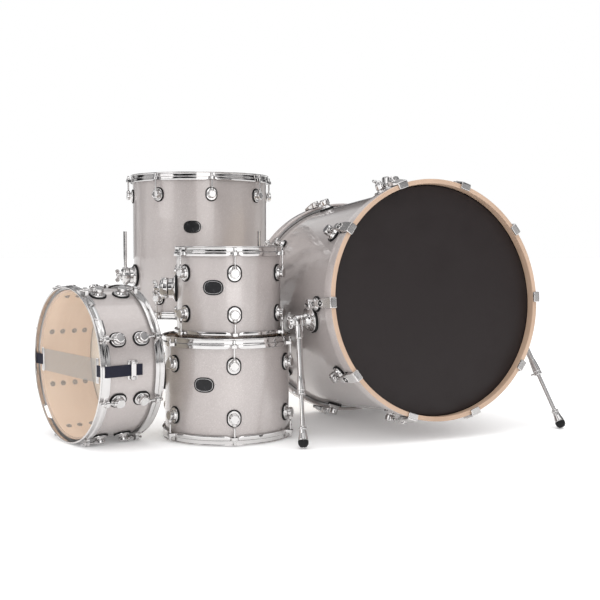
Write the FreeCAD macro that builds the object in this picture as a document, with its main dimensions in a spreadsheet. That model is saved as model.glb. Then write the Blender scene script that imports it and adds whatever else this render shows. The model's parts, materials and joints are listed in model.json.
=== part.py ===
"""Five-piece acoustic drum kit, packed together as it is delivered.

Millimetres, +Z up, +X along the longest side of the kit.  The origin is on the floor, in the
middle of the kit's box.  Every drum is modelled about its own axis: local Z runs along the drum,
z = 0 at the edge of the hoop that is lowest (tom, floor tom), played (snare) or rear (bass drum).
Each drum then gets one placement, which all of its pieces share.
"""
import FreeCAD, Part
import os
import Sketcher
from FreeCAD import Placement, Rotation, Vector

doc = FreeCAD.newDocument("drum_kit")
X_AXIS = Vector(1, 0, 0)
Y_AXIS = Vector(0, 1, 0)
Z_AXIS = Vector(0, 0, 1)
NO_TURN = Rotation()
RADIAL = Rotation(Y_AXIS, 90)

# ---------------------------------------------------------------- driving dimensions
SIZES = [
    # shells: nominal head sizes 10, 12, 16, 14 and 22 inches
    ("tom10_radius", 127.0, "10 inch tom, shell radius"),
    ("tom10_depth", 203.2, "10 inch tom, shell depth"),
    ("tom10_lug_count", 6, "10 inch tom, lugs to a head"),
    ("tom12_radius", 152.4, "12 inch tom, shell radius"),
    ("tom12_depth", 228.6, "12 inch tom, shell depth"),
    ("tom12_lug_count", 6, "12 inch tom, lugs to a head"),
    ("floor_radius", 203.2, "floor tom, shell radius"),
    ("floor_depth", 406.4, "floor tom, shell depth"),
    ("floor_lug_count", 8, "floor tom, lugs to a head"),
    ("snare_radius", 177.8, "snare drum, shell radius"),
    ("snare_depth", 139.7, "snare drum, shell depth"),
    ("snare_lug_count", 8, "snare drum, lugs to a head"),
    ("bass_radius", 279.4, "bass drum, shell radius"),
    ("bass_depth", 457.2, "bass drum, shell depth"),
    ("bass_lug_count", 10, "bass drum, lugs to a head"),
    ("shell_wall", 6.5, "wall of every shell"),
    ("bevel", 3.0, "bearing edge bevel"),
    # heads
    ("film", 0.4, "drum head film"),
    ("head_ring_in", 0.8, "gap between shell and the head's ring"),
    ("head_ring_out", 4.6, "outside of the head's ring beyond the shell"),
    ("head_ring_tall", 7.5, "height of the head's ring"),
    # steel hoops, measured from the rim edge and beyond the shell radius
    ("rim_rise", 11.0, "rim edge above the head"),
    ("hoop_in", 3.2, "hoop's upper band, inside"),
    ("hoop_out", 5.6, "hoop's upper band, outside"),
    ("hoop_bead", 7.2, "bead on the rim edge, outside"),
    ("hoop_bead_tall", 2.4, "bead on the rim edge, height"),
    ("hoop_step", 13.4, "where the hoop steps out over the head's ring"),
    ("lip_in", 5.2, "hoop's lower lip, inside"),
    ("lip_out", 8.2, "hoop's lower lip, outside"),
    ("hoop_tall", 24.0, "height of a hoop"),
    ("ear_reach", 21.0, "ear's outer edge beyond the shell"),
    ("ear_half_wide", 10.0, "half width of an ear"),
    ("ear_seat", 14.0, "ear's face below the rim edge"),
    ("ear_tall", 9.5, "height of an ear"),
    # tension rods and lugs of the steel-hooped drums
    ("rod_reach", 14.5, "tension rod axis beyond the shell"),
    ("rod_radius", 2.5, "tension rod"),
    ("rod_hole", 2.75, "hole for a tension rod in a lug"),
    ("ear_hole", 3.4, "hole for a tension rod in an ear"),
    ("rod_washer", 6.2, "washer under a rod's head"),
    ("rod_washer_thick", 1.4, "thickness of that washer"),
    ("rod_collar", 4.8, "collar of a rod's head"),
    ("rod_collar_tall", 3.0, "height of that collar"),
    ("rod_square", 5.6, "square of a rod's head"),
    ("rod_square_tall", 6.5, "height of that square"),
    ("lug_inset", 64.0, "lug centre below the rim edge, toms"),
    ("snare_lug_inset", 51.0, "lug centre below the rim edge, snare"),
    ("gasket_half_wide", 16.5, "lug gasket, half width"),
    ("gasket_half_straight", 3.5, "lug gasket, half of its straight side"),
    ("gasket_thick", 2.6, "lug gasket, thickness"),
    ("lug_base_half_wide", 14.6, "lug base plate, half width"),
    ("lug_base_thick", 3.0, "lug base plate, thickness"),
    ("lug_barrel", 12.0, "lug barrel, large radius"),
    ("lug_barrel_step", 10.4, "lug barrel, outer radius"),
    ("lug_step_at", 10.0, "lug barrel, where it steps down"),
    ("lug_tall", 19.5, "lug's outer face beyond the shell"),
    ("lug_edge", 1.6, "round edge of a lug barrel"),
    ("boss_radius", 5.6, "threaded boss of a lug"),
    ("boss_reach", 17.0, "threaded boss of a lug, length from the lug's centre"),
    # clamp brackets of the toms and of the floor tom's legs
    ("clamp_gasket", 33.0, "clamp bracket's gasket, radius"),
    ("clamp_gasket_thick", 4.0, "clamp bracket's gasket, thickness"),
    ("clamp_base", 31.0, "clamp bracket's foot, radius"),
    ("clamp_body", 24.0, "clamp bracket's body, radius"),
    ("clamp_split", 21.0, "split of the clamp beyond the shell"),
    ("clamp_split_gap", 1.6, "width of that split"),
    ("clamp_tall", 44.0, "clamp's outer face beyond the shell"),
    ("clamp_rod_reach", 31.0, "clamped rod's axis beyond the shell"),
    ("clamp_hole", 5.06, "hole for the clamped rod"),
    ("leg_radius", 5.0, "floor tom leg and tom rod"),
    ("wing_hub", 7.5, "wing nut hub, radius"),
    ("wing_hub_tall", 15.0, "wing nut hub, length"),
    ("wing_lobe", 7.0, "wing nut lobe, radius"),
    ("wing_lobe_thick", 6.0, "wing nut lobe, thickness"),
    ("wing_spread", 13.0, "wing nut lobe from the axis"),
    ("wing_stem", 3.4, "wing nut screw"),
    ("wing_gap", 0.4, "gap between a wing nut and its clamp"),
    # floor tom legs
    ("leg_above", 132.0, "leg above its clamp"),
    ("leg_knee_up", 190.0, "height of the leg's upper bend above the floor"),
    ("leg_knee_down", 130.0, "height of the leg's lower bend above the floor"),
    ("leg_kick", 42.0, "how far the leg steps out"),
    ("foot_radius", 12.0, "leg's rubber foot, radius"),
    ("foot_tall", 44.0, "leg's rubber foot, height"),
    # bass drum
    ("bass_overhang", 22.4, "bass hoop's edge beyond the shell"),
    ("bass_hoop_wide", 38.0, "bass hoop, width"),
    ("bass_hoop_in", 1.6, "bass hoop's inside beyond the shell"),
    ("bass_hoop_relief", 7.2, "bass hoop's inside over the head's ring"),
    ("bass_hoop_out", 13.1, "bass hoop's outside beyond the shell"),
    ("bass_hoop_edge", 2.0, "bass hoop's rounded edge"),
    ("bass_ring_out", 6.4, "bass head's ring, outside beyond the shell"),
    ("claw_half_wide", 13.0, "claw, half width"),
    ("claw_pad_thick", 1.6, "rubber pad under a claw"),
    ("claw_thick", 3.6, "claw plate"),
    ("claw_lip", 13.0, "claw's lip over the hoop's face"),
    ("claw_flat", 26.0, "length of a claw's square part"),
    ("claw_nose", 8.5, "claw's round end, radius"),
    ("claw_length", 52.0, "claw, length along the drum"),
    ("bass_rod_reach", 21.0, "bass tension rod's axis beyond the shell"),
    ("bass_rod_radius", 3.0, "bass tension rod"),
    ("bass_lug_inset", 98.0, "bass lug centre behind the hoop's edge"),
    ("bass_gasket", 18.0, "bass lug gasket, radius"),
    ("bass_lug_barrel", 13.0, "bass lug barrel, radius"),
    ("bass_lug_tall", 29.0, "bass lug's outer face beyond the shell"),
    ("bass_boss_radius", 6.4, "bass lug's threaded boss"),
    ("bass_boss_reach", 19.0, "bass lug's boss, length from its centre"),
    # tom holder on the bass drum
    ("holder_at", 205.0, "tom holder behind the front hoop's edge"),
    ("holder_base_long", 84.0, "tom holder's foot, along the drum"),
    ("holder_base_wide", 62.0, "tom holder's foot, across the drum"),
    ("holder_base_top", 12.0, "tom holder's foot, top beyond the shell"),
    ("holder_block_long", 46.0, "tom holder's clamp, along the drum"),
    ("holder_block_wide", 44.0, "tom holder's clamp, across the drum"),
    ("holder_top", 48.0, "tom holder's top beyond the shell"),
    ("holder_bore", 11.2, "tom holder's bore, radius"),
    ("holder_bore_deep", 90.0, "tom holder's bore, depth below its top"),
    ("holder_screw_up", 33.0, "tom holder's wing screw beyond the shell"),
    # spurs
    ("spur_at", 136.0, "spur pivot behind the front hoop's edge"),
    ("spur_disc", 33.0, "spur bracket's disc, radius"),
    ("spur_disc_thick", 9.0, "spur bracket's disc, outer face beyond the shell"),
    ("spur_boss", 14.0, "spur bracket's boss, radius"),
    ("spur_boss_tall", 25.0, "spur bracket's boss, outer face beyond the shell"),
    ("spur_hub", 15.5, "spur arm's hub, radius"),
    ("spur_hub_start", 25.5, "spur arm's hub, inner face beyond the shell"),
    ("spur_hub_end", 49.0, "spur arm's hub, outer face beyond the shell"),
    ("spur_leg_root", 35.5, "where the leg's axis leaves the pivot axis, beyond the shell"),
    ("spur_pin", 5.0, "spur pivot pin, radius"),
    ("spur_pin_end", 38.0, "end of that pin inside the hub, beyond the shell"),
    ("spur_pin_hole", 5.06, "hole for that pin"),
    ("sleeve_radius", 9.6, "spur arm's sleeve, radius"),
    ("sleeve_end", 46.0, "spur arm's sleeve, from the pivot"),
    ("tube_radius", 7.2, "spur arm's tube, radius"),
    ("tube_bore", 5.06, "spur arm's tube, bore"),
    ("collar_start", 138.0, "spur collar, from the pivot"),
    ("collar_end", 182.0, "spur collar, end"),
    ("collar_radius", 10.6, "spur collar, radius"),
    ("spur_rod_radius", 5.0, "spur rod, radius"),
    ("spur_rod_start", 108.0, "spur rod's hidden end, from the pivot"),
    ("spur_retract", 44.0, "room above the spur rod inside its tube"),
    ("spur_foot_long", 50.0, "spur foot, from its flange to its tip"),
    ("spur_flange", 9.5, "spur foot's flange, radius"),
    ("spur_cone", 13.0, "spur foot's cone, large radius"),
    ("spur_spike", 2.4, "spur foot's spike, radius"),
    # snare drum
    ("wire_half_wide", 27.0, "snare wires, half width"),
    ("wire_radius", 0.9, "one snare wire"),
    ("wire_count", 20, "snare wires"),
    ("butt_half_wide", 17.0, "butt plate, half width"),
    ("butt_half_tall", 24.0, "butt plate, half height"),
    ("butt_thick", 9.0, "butt plate, outer face beyond the shell"),
    ("strainer_half_wide", 15.0, "strainer, half width"),
    ("strainer_tall", 60.0, "strainer, length along the drum"),
    ("strainer_thick", 16.0, "strainer, outer face beyond the shell"),
    ("strap_half_wide", 15.0, "snare strap, half width"),
    ("lever_long", 50.0, "strainer lever, length"),
    ("knob_radius", 9.0, "strainer knob, radius"),
    ("knob_tall", 10.5, "strainer knob, height"),
    # where each drum stands: floor position from the corner the layout is drawn from
    ("kit_centre_x", 6.7, "middle of the kit's box"),
    ("kit_centre_y", 2785.78, "middle of the kit's box"),
    ("tom12_x", -180.3, "12 inch tom"),
    ("tom12_y", 2462.0, "12 inch tom"),
    ("tom10_x", -175.7, "10 inch tom, standing on the 12 inch tom's head"),
    ("tom10_y", 2470.0, "10 inch tom"),
    ("floor_x", -308.0, "floor tom"),
    ("floor_y", 3090.0, "floor tom"),
    ("floor_z", 250.0, "floor tom's lower rim above the floor"),
    ("bass_x", 335.5, "middle of the bass drum's front hoop"),
    ("bass_y", 2405.0, "middle of the bass drum's front hoop"),
    ("bass_turn", 25.5, "bass drum's axis, turned from -Y towards +X"),
    ("bass_tilt", 5.2, "bass drum's front is raised by this angle"),
    ("snare_x", -552.0, "middle of the snare drum's snare-side rim"),
    ("snare_y", 2342.0, "middle of the snare drum's snare-side rim"),
    ("snare_turn", -52.4, "snare drum's axis, turned from -Y towards +X"),
    ("tom_lug_first", 40.0, "toms: angle of one lug"),
    ("floor_lug_first", 15.0, "floor tom: angle of one lug"),
    ("snare_lug_first", 22.5, "snare: angle of one lug"),
    ("clamp_angle", 180.0, "toms: angle of the clamp bracket"),
    ("tom10_clamp_z", 122.0, "10 inch tom: height of its bracket"),
    ("tom12_clamp_z", 146.0, "12 inch tom: height of its bracket"),
    ("leg_first", 203.0, "floor tom: angle of the front left leg"),
    ("floor_clamp_z", 126.0, "floor tom: height of the leg brackets"),
    ("spur_low", 7.0, "spur pivots below the drum's middle, angle"),
    ("spur_splay", 14.0, "spur leg leans out from its disc's plane"),
    ("spur_left_swing", 16.0, "left spur leg swung forwards from straight down"),
    ("spur_right_swing", 25.0, "right spur leg swung forwards from straight down"),
    ("rest_gap", 0.3, "air under the 10 inch tom, where it stands on the head"),
]

sheet = doc.addObject("Spreadsheet::Sheet", "Sizes")
for row, (alias, number, meaning) in enumerate(SIZES, 1):
    sheet.set("A%d" % row, meaning)
    sheet.set("B%d" % row, str(number))
    sheet.setAlias("B%d" % row, alias)
doc.recompute()


def value(text):
    """The number that an expression on the sheet gives."""
    return float(sheet.evalExpression(text))


def size(alias):
    """One cell of the sheet, as a number."""
    return float(sheet.get(alias))


# ---------------------------------------------------------------- ways of making a piece
def origin_plane(body, role):
    return [feature for feature in body.Origin.OriginFeatures if feature.Role == role][0]


def new_sketch(body, name, plane, lift=None):
    sketch = body.newObject("Sketcher::SketchObject", name)
    sketch.AttachmentSupport = (origin_plane(body, plane), [""])
    sketch.MapMode = "FlatFace"
    if lift:
        sketch.setExpression("AttachmentOffset.Base.z", lift)
    return sketch


def pin_point(sketch, edge, end, x, y):
    """Hold one point of an edge at a place worked out from the sheet."""
    for kind, text in (("DistanceX", x), ("DistanceY", y)):
        number = sketch.addConstraint(Sketcher.Constraint(kind, -1, 1, edge, end, value(text)))
        sketch.setExpression("Constraints[%d]" % number, text)


def draw_outline(sketch, points):
    """A closed outline of straight lines through points given as pairs of expressions."""
    spots = [Vector(value(x), value(y), 0) for x, y in points]
    count = len(spots)
    lines = [Part.LineSegment(spots[k], spots[(k + 1) % count]) for k in range(count)]
    first = sketch.GeometryCount
    sketch.addGeometry(lines, False)
    for k in range(count):
        joint = Sketcher.Constraint("Coincident", first + k, 2, first + (k + 1) % count, 1)
        sketch.addConstraint(joint)
    for k, (x, y) in enumerate(points):
        pin_point(sketch, first + k, 1, x, y)


def draw_circle(sketch, x, y, radius):
    middle = Vector(value(x), value(y), 0)
    edge = sketch.addGeometry(Part.Circle(middle, Z_AXIS, value(radius)), False)
    pin_point(sketch, edge, 3, x, y)
    number = sketch.addConstraint(Sketcher.Constraint("Radius", edge, value(radius)))
    sketch.setExpression("Constraints[%d]" % number, radius)


def draw_oval(sketch, half_wide, half_straight):
    """Two half circles joined by straight sides, tall along the sketch's Y."""
    radius = value(half_wide)
    up = value(half_straight)
    half_turn = 3.14159265
    top = Part.Circle(Vector(0, up, 0), Z_AXIS, radius)
    low = Part.Circle(Vector(0, -up, 0), Z_AXIS, radius)
    edges = [
        Part.ArcOfCircle(top, 0, half_turn),
        Part.LineSegment(Vector(-radius, up, 0), Vector(-radius, -up, 0)),
        Part.ArcOfCircle(low, half_turn, 2 * half_turn),
        Part.LineSegment(Vector(radius, -up, 0), Vector(radius, up, 0)),
    ]
    sketch.addGeometry(edges, False)
    for edge in range(4):
        sketch.addConstraint(Sketcher.Constraint("Tangent", edge, 2, (edge + 1) % 4, 1))
    sketch.addConstraint(Sketcher.Constraint("Equal", 0, 2))
    pin_point(sketch, 0, 3, "0 * " + half_wide, half_straight)
    pin_point(sketch, 2, 3, "0 * " + half_wide, "-1 * " + half_straight)
    number = sketch.addConstraint(Sketcher.Constraint("Radius", 0, radius))
    sketch.setExpression("Constraints[%d]" % number, half_wide)


def turned(name, points):
    """A solid of revolution about Z; each point is (radius, height)."""
    body = doc.addObject("PartDesign::Body", name)
    sketch = new_sketch(body, name + "_profile", "XZ_Plane")
    draw_outline(sketch, points)
    turn = body.newObject("PartDesign::Revolution", name + "_turn")
    turn.Profile = sketch
    turn.ReferenceAxis = (sketch, ["V_Axis"])
    turn.Angle = 360
    body.Tip = turn
    return body


def pressed(name, plane, lift, thick, draw, *given):
    """A plate: draw(sketch, *given) on a plane raised by lift, then padded by thick."""
    body = doc.addObject("PartDesign::Body", name)
    sketch = new_sketch(body, name + "_outline", plane, lift)
    draw(sketch, *given)
    pad = body.newObject("PartDesign::Pad", name + "_pad")
    pad.Profile = sketch
    pad.setExpression("Length", thick)
    body.Tip = pad
    return body


def place_by_sheet(piece, base, turn=NO_TURN):
    piece.Placement = Placement(Vector(0, 0, 0), turn)
    for letter, text in zip("xyz", base):
        if text != "0":
            piece.setExpression("Placement.Base." + letter, text)
    return piece


def cylinder(name, radius, tall, base=("0", "0", "0"), turn=NO_TURN):
    piece = doc.addObject("Part::Cylinder", name)
    piece.setExpression("Radius", radius)
    piece.setExpression("Height", tall)
    return place_by_sheet(piece, base, turn)


def cone(name, low_radius, top_radius, tall, base=("0", "0", "0"), turn=NO_TURN):
    piece = doc.addObject("Part::Cone", name)
    piece.setExpression("Radius1", low_radius)
    piece.setExpression("Radius2", top_radius)
    piece.setExpression("Height", tall)
    return place_by_sheet(piece, base, turn)


def block(name, spans, base):
    piece = doc.addObject("Part::Box", name)
    for side, text in zip(("Length", "Width", "Height"), spans):
        piece.setExpression(side, text)
    return place_by_sheet(piece, base)


def fused(name, pieces):
    joined = doc.addObject("Part::MultiFuse", name)
    joined.Shapes = pieces
    joined.Refine = True
    return joined


def less(name, base, tool):
    """base with tool taken away; the volume shows that the cut took something."""
    cut = doc.addObject("Part::Cut", name)
    cut.Base = base
    cut.Tool = tool
    doc.recompute()
    if cut.Shape.Volume >= base.Shape.Volume - 1e-3:
        raise RuntimeError(name + ": the cut took nothing away")
    return cut


def copies(name, master, places):
    """The same piece at several places, as a link with one element for each."""
    piece = doc.addObject("Part::Compound", name + "_piece")
    piece.Links = [master]
    link = doc.addObject("App::Link", name)
    link.ShowElement = False
    link.LinkedObject = piece
    link.ElementCount = len(places)
    link.PlacementList = places
    return link


NODES = {}


def node(label, pieces, place):
    """Give one physical piece, or one group of like pieces, its name and its placement."""
    if len(pieces) == 1 and pieces[0].TypeId != "App::Link":
        item = pieces[0]
        item.Placement = place.multiply(item.Placement)
    else:
        item = doc.addObject("Part::Compound", label + "_group")
        item.Links = pieces
        item.Placement = place
    item.Label = label
    NODES[label] = item
    return item


def about(angle, lift=0.0, turn=NO_TURN):
    """A place turned about the drum's axis, then raised along it."""
    return Placement(Vector(0, 0, lift), Rotation(Z_AXIS, angle).multiply(turn))


UPSIDE_DOWN = Rotation(X_AXIS, 180)


def both_ends(first, count, total, inset):
    """Places of a ring at both ends of a drum, the far ones upside down."""
    places = []
    for k in range(count):
        angle = first + 360.0 * k / count
        places.append(about(angle, inset))
        places.append(about(angle, total - inset, UPSIDE_DOWN))
    return places


# ---------------------------------------------------------------- pieces that several drums share
def shell_tube(drum, start, total):
    """The wooden shell, with a bevelled bearing edge at both ends."""
    R = "Sizes.%s_radius" % drum
    low = "%s + Sizes.film * 1.5" % start
    high = "%s - %s - Sizes.film * 1.5" % (total, start)
    inner = R + " - Sizes.shell_wall"
    crest = R + " - 0.6 * Sizes.bevel"
    return turned(drum + "_shell_tube", [
        (inner, low + " + 1.4 * Sizes.bevel"),
        (crest, low),
        (R, low + " + 0.8 * Sizes.bevel"),
        (R, high + " - 0.8 * Sizes.bevel"),
        (crest, high),
        (inner, high + " - 1.4 * Sizes.bevel"),
    ])


def head_film(drum, start, ring_out):
    """A drum head: film over the bearing edge, glued into a metal ring outside the shell."""
    R = "Sizes.%s_radius" % drum
    fall = "%s + 2.6" % start
    ring_low = "%s + 2.6 + Sizes.head_ring_tall" % start
    return turned(drum + "_head_film", [
        ("0", start),
        (R + " - 0.8", start),
        (R + " + Sizes.head_ring_in + 0.6", fall),
        (R + " + " + ring_out, fall),
        (R + " + " + ring_out, ring_low),
        (R + " + Sizes.head_ring_in", ring_low),
        (R + " + Sizes.head_ring_in", fall + " + 0.1"),
        (R + " - 1.4", "%s + Sizes.film" % start),
        ("0", "%s + Sizes.film" % start),
    ])


def steel_hoop(drum):
    """Flanged steel hoop with one ear for each tension rod; rim edge at z = 0."""
    R = "Sizes.%s_radius" % drum
    body = turned(drum + "_hoop_ring", [
        (R + " + Sizes.hoop_in", "0 * Sizes.film"),
        (R + " + Sizes.hoop_bead", "0 * Sizes.film"),
        (R + " + Sizes.hoop_bead", "Sizes.hoop_bead_tall"),
        (R + " + Sizes.hoop_out", "Sizes.hoop_bead_tall + 0.8"),
        (R + " + Sizes.hoop_out", "Sizes.hoop_step - 0.6"),
        (R + " + Sizes.lip_out", "Sizes.hoop_step + 0.8"),
        (R + " + Sizes.lip_out", "Sizes.hoop_tall"),
        (R + " + Sizes.lip_in", "Sizes.hoop_tall"),
        (R + " + Sizes.lip_in", "Sizes.hoop_step"),
        (R + " + Sizes.hoop_in", "Sizes.hoop_step"),
    ])
    doc.recompute()
    ear_sketch = new_sketch(body, drum + "_ear_outline", "XY_Plane", "Sizes.ear_seat")
    wide = "Sizes.ear_half_wide"
    shoulder = R + " + Sizes.ear_reach - 0.5 * " + wide
    draw_outline(ear_sketch, [
        (R + " + Sizes.lip_in + 1", "-1 * " + wide),
        (shoulder, "-1 * " + wide),
        (R + " + Sizes.ear_reach", "-0.5 * " + wide),
        (R + " + Sizes.ear_reach", "0.5 * " + wide),
        (shoulder, wide),
        (R + " + Sizes.lip_in + 1", wide),
    ])
    ear = body.newObject("PartDesign::Pad", drum + "_ear")
    ear.Profile = ear_sketch
    ear.setExpression("Length", "Sizes.ear_tall")
    doc.recompute()
    ears = body.newObject("PartDesign::PolarPattern", drum + "_ears")
    ears.Originals = [ear]
    ears.Axis = (ear_sketch, ["N_Axis"])
    ears.Angle = 360
    ears.setExpression("Occurrences", "Sizes.%s_lug_count" % drum)
    body.Tip = ears
    doc.recompute()
    before = body.Shape.Volume
    hole_sketch = new_sketch(body, drum + "_ear_hole_outline", "XY_Plane", "Sizes.ear_seat - 1")
    draw_circle(hole_sketch, R + " + Sizes.rod_reach", "0 * Sizes.film", "Sizes.ear_hole")
    hole = body.newObject("PartDesign::Pocket", drum + "_ear_hole")
    hole.Profile = hole_sketch
    hole.setExpression("Length", "Sizes.ear_tall + 3")
    hole.Reversed = True
    doc.recompute()
    holes = body.newObject("PartDesign::PolarPattern", drum + "_ear_holes")
    holes.Originals = [hole]
    holes.Axis = (hole_sketch, ["N_Axis"])
    holes.Angle = 360
    holes.setExpression("Occurrences", "Sizes.%s_lug_count" % drum)
    body.Tip = holes
    doc.recompute()
    if body.Shape.Volume >= before:
        raise RuntimeError(drum + ": the ear holes took nothing away")
    return body


def bedded(name, drum, radius, thick, draw, *given):
    """A rubber gasket: a plate across the drum's side, hollowed to lie on the round shell."""
    R = "Sizes.%s_radius" % drum
    plate = pressed(name + "_plate", "YZ_Plane", R + " - 6", thick + " + 6", draw, *given)
    round_shell = cylinder(name + "_round", R + " + 0.02", "4 * " + radius,
                           ("0", "0", "-2 * " + radius))
    return less(name, plate, round_shell)


def lug(drum):
    """Tube lug on its gasket: base plate, stepped barrel and a threaded boss towards the hoop."""
    R = "Sizes.%s_radius" % drum
    seat = R + " + Sizes.gasket_thick"
    base = pressed(drum + "_lug_base", "YZ_Plane", seat, "Sizes.lug_base_thick", draw_oval,
                   "Sizes.lug_base_half_wide", "Sizes.gasket_half_straight")
    barrel = turned(drum + "_lug_barrel", [
        ("0", "Sizes.gasket_thick"),
        ("Sizes.lug_barrel", "Sizes.gasket_thick"),
        ("Sizes.lug_barrel", "Sizes.lug_step_at"),
        ("Sizes.lug_barrel_step", "Sizes.lug_step_at + Sizes.lug_edge"),
        ("Sizes.lug_barrel_step", "Sizes.lug_tall - Sizes.lug_edge"),
        ("Sizes.lug_barrel_step - Sizes.lug_edge", "Sizes.lug_tall"),
        ("0", "Sizes.lug_tall"),
    ])
    place_by_sheet(barrel, (R, "0", "0"), RADIAL)
    boss = cylinder(drum + "_lug_boss", "Sizes.boss_radius", "Sizes.boss_reach",
                    (R + " + Sizes.rod_reach", "0", "-1 * Sizes.boss_reach"))
    solid = fused(drum + "_lug_solid", [base, barrel, boss])
    bore = cylinder(drum + "_lug_bore", "Sizes.rod_hole", "Sizes.boss_reach + 8",
                    (R + " + Sizes.rod_reach", "0", "-1 * Sizes.boss_reach - 1"))
    return less(drum + "_lug", solid, bore)


def tension_rod(drum, inset):
    """Key rod, washer and square head; z = 0 at the ear's face, the head points to -Z."""
    reach = "Sizes.%s_radius + Sizes.rod_reach" % drum
    shaft_long = "%s - Sizes.ear_seat - Sizes.boss_reach + 14" % inset
    shaft = cylinder(drum + "_rod_shaft", "Sizes.rod_radius", shaft_long, (reach, "0", "0"))
    washer = cylinder(drum + "_rod_washer_disc", "Sizes.rod_washer", "Sizes.rod_washer_thick",
                      (reach, "0", "-1 * Sizes.rod_washer_thick"))
    collar_low = "-1 * Sizes.rod_washer_thick - Sizes.rod_collar_tall"
    collar = cylinder(drum + "_rod_collar_disc", "Sizes.rod_collar", "Sizes.rod_collar_tall",
                      (reach, "0", collar_low))
    square = block(drum + "_rod_square_block",
                   ("Sizes.rod_square", "Sizes.rod_square", "Sizes.rod_square_tall"),
                   (reach + " - Sizes.rod_square / 2", "-1 * Sizes.rod_square / 2",
                    collar_low + " - Sizes.rod_square_tall"))
    return fused(drum + "_rod", [shaft, washer, collar, square])


def clamp_bracket(drum):
    """Two-part rod clamp on a round foot, split across, with a bore along the drum's axis."""
    R = "Sizes.%s_radius" % drum
    inner = turned(drum + "_clamp_inner", [
        ("0", "Sizes.clamp_gasket_thick"),
        ("Sizes.clamp_base", "Sizes.clamp_gasket_thick"),
        ("Sizes.clamp_base", "Sizes.clamp_gasket_thick + 3"),
        ("Sizes.clamp_body + 1", "Sizes.clamp_gasket_thick + 7"),
        ("Sizes.clamp_body", "Sizes.clamp_split"),
        ("0", "Sizes.clamp_split"),
    ])
    outer = turned(drum + "_clamp_outer", [
        ("0", "Sizes.clamp_split + Sizes.clamp_split_gap"),
        ("Sizes.clamp_body + 0.5", "Sizes.clamp_split + Sizes.clamp_split_gap"),
        ("Sizes.clamp_body + 0.5", "Sizes.clamp_tall - 7"),
        ("Sizes.clamp_body - 2.5", "Sizes.clamp_tall - 2"),
        ("Sizes.clamp_body - 8", "Sizes.clamp_tall"),
        ("0", "Sizes.clamp_tall"),
    ])
    neck = cylinder(drum + "_clamp_neck", "Sizes.clamp_body - 6",
                    "Sizes.clamp_split_gap + 2", ("0", "0", "Sizes.clamp_split - 1"))
    solid = fused(drum + "_clamp_solid", [inner, outer, neck])
    place_by_sheet(solid, (R, "0", "0"), RADIAL)
    bore = cylinder(drum + "_clamp_bore", "Sizes.clamp_hole", "4 * Sizes.clamp_body",
                    (R + " + Sizes.clamp_rod_reach", "0", "-2 * Sizes.clamp_body"))
    drilled = less(drum + "_clamp_drilled", solid, bore)
    thread = cylinder(drum + "_clamp_thread", "Sizes.wing_stem + 0.06", "9",
                      (R + " + Sizes.clamp_tall - 8", "0", "0"), RADIAL)
    return less(drum + "_clamp", drilled, thread)


def wing_nut(drum):
    """Two-lobed wing bolt along the clamp's axis; its screw ends inside the clamp."""
    R = "Sizes.%s_radius" % drum
    face = "Sizes.clamp_tall + Sizes.wing_gap"
    stem = cylinder(drum + "_wing_stem_rod", "Sizes.wing_stem", "7 + Sizes.wing_gap",
                    ("0", "0", "Sizes.clamp_tall - 6"))
    hub = cone(drum + "_wing_hub_cone", "Sizes.wing_hub", "Sizes.wing_hub - 1.5",
               "Sizes.wing_hub_tall", ("0", "0", face))
    lobes = []
    for side, sign in (("low", "-1 *"), ("high", "1 *")):
        lobe = cylinder("%s_wing_%s" % (drum, side), "Sizes.wing_lobe", "Sizes.wing_lobe_thick",
                        ("%s Sizes.wing_spread" % sign, "Sizes.wing_lobe_thick / 2",
                         face + " + Sizes.wing_hub_tall - 4"), Rotation(X_AXIS, 90))
        web = block("%s_web_%s" % (drum, side), ("10", "Sizes.wing_lobe_thick", "10"),
                    ("%s 8.5 - 5" % sign, "-1 * Sizes.wing_lobe_thick / 2",
                     face + " + Sizes.wing_hub_tall - 10"))
        lobes += [lobe, web]
    nut = fused(drum + "_wing_solid", [stem, hub] + lobes)
    return place_by_sheet(nut, (R, "0", "0"), RADIAL)


# ---------------------------------------------------------------- where the drums stand
def floor_spot(drum, lift=0.0):
    return Vector(size(drum + "_x") - size("kit_centre_x"),
                  size(drum + "_y") - size("kit_centre_y"), lift)


def drum_total(drum):
    return size(drum + "_depth") + 2 * size("rim_rise")


def lying(drum, turn, tilt, length, lift_front):
    """Place of a drum on its side; turn and tilt aim its front, whose middle is on the layout."""
    aim = Rotation(turn, 0, 90 - tilt)
    front = floor_spot(drum, lift_front)
    return Placement(front - aim.multVec(Vector(0, 0, length)), aim)


def upright(drum, lift):
    return Placement(floor_spot(drum, lift), NO_TURN)


def sine(degrees):
    return Rotation(Z_AXIS, degrees).multVec(X_AXIS).y


def cosine(degrees):
    return Rotation(Z_AXIS, degrees).multVec(X_AXIS).x


bass_length = size("bass_depth") + 2 * size("bass_overhang")
bass_hoop_edge_radius = size("bass_radius") + size("bass_hoop_out")
bass_front_up = (bass_length * sine(size("bass_tilt"))
                 - size("bass_hoop_edge") * sine(size("bass_tilt"))
                 + bass_hoop_edge_radius * cosine(size("bass_tilt")))
snare_up = size("snare_radius") + size("lip_out")
PLACE = {
    "tom12": upright("tom12", 0.0),
    "tom10": upright("tom10", drum_total("tom12") - size("rim_rise") + size("rest_gap")),
    "floor": upright("floor", size("floor_z")),
    "snare": lying("snare", size("snare_turn"), 0.0, drum_total("snare"), snare_up),
    "bass": lying("bass", size("bass_turn"), size("bass_tilt"), bass_length, bass_front_up),
}


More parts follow.
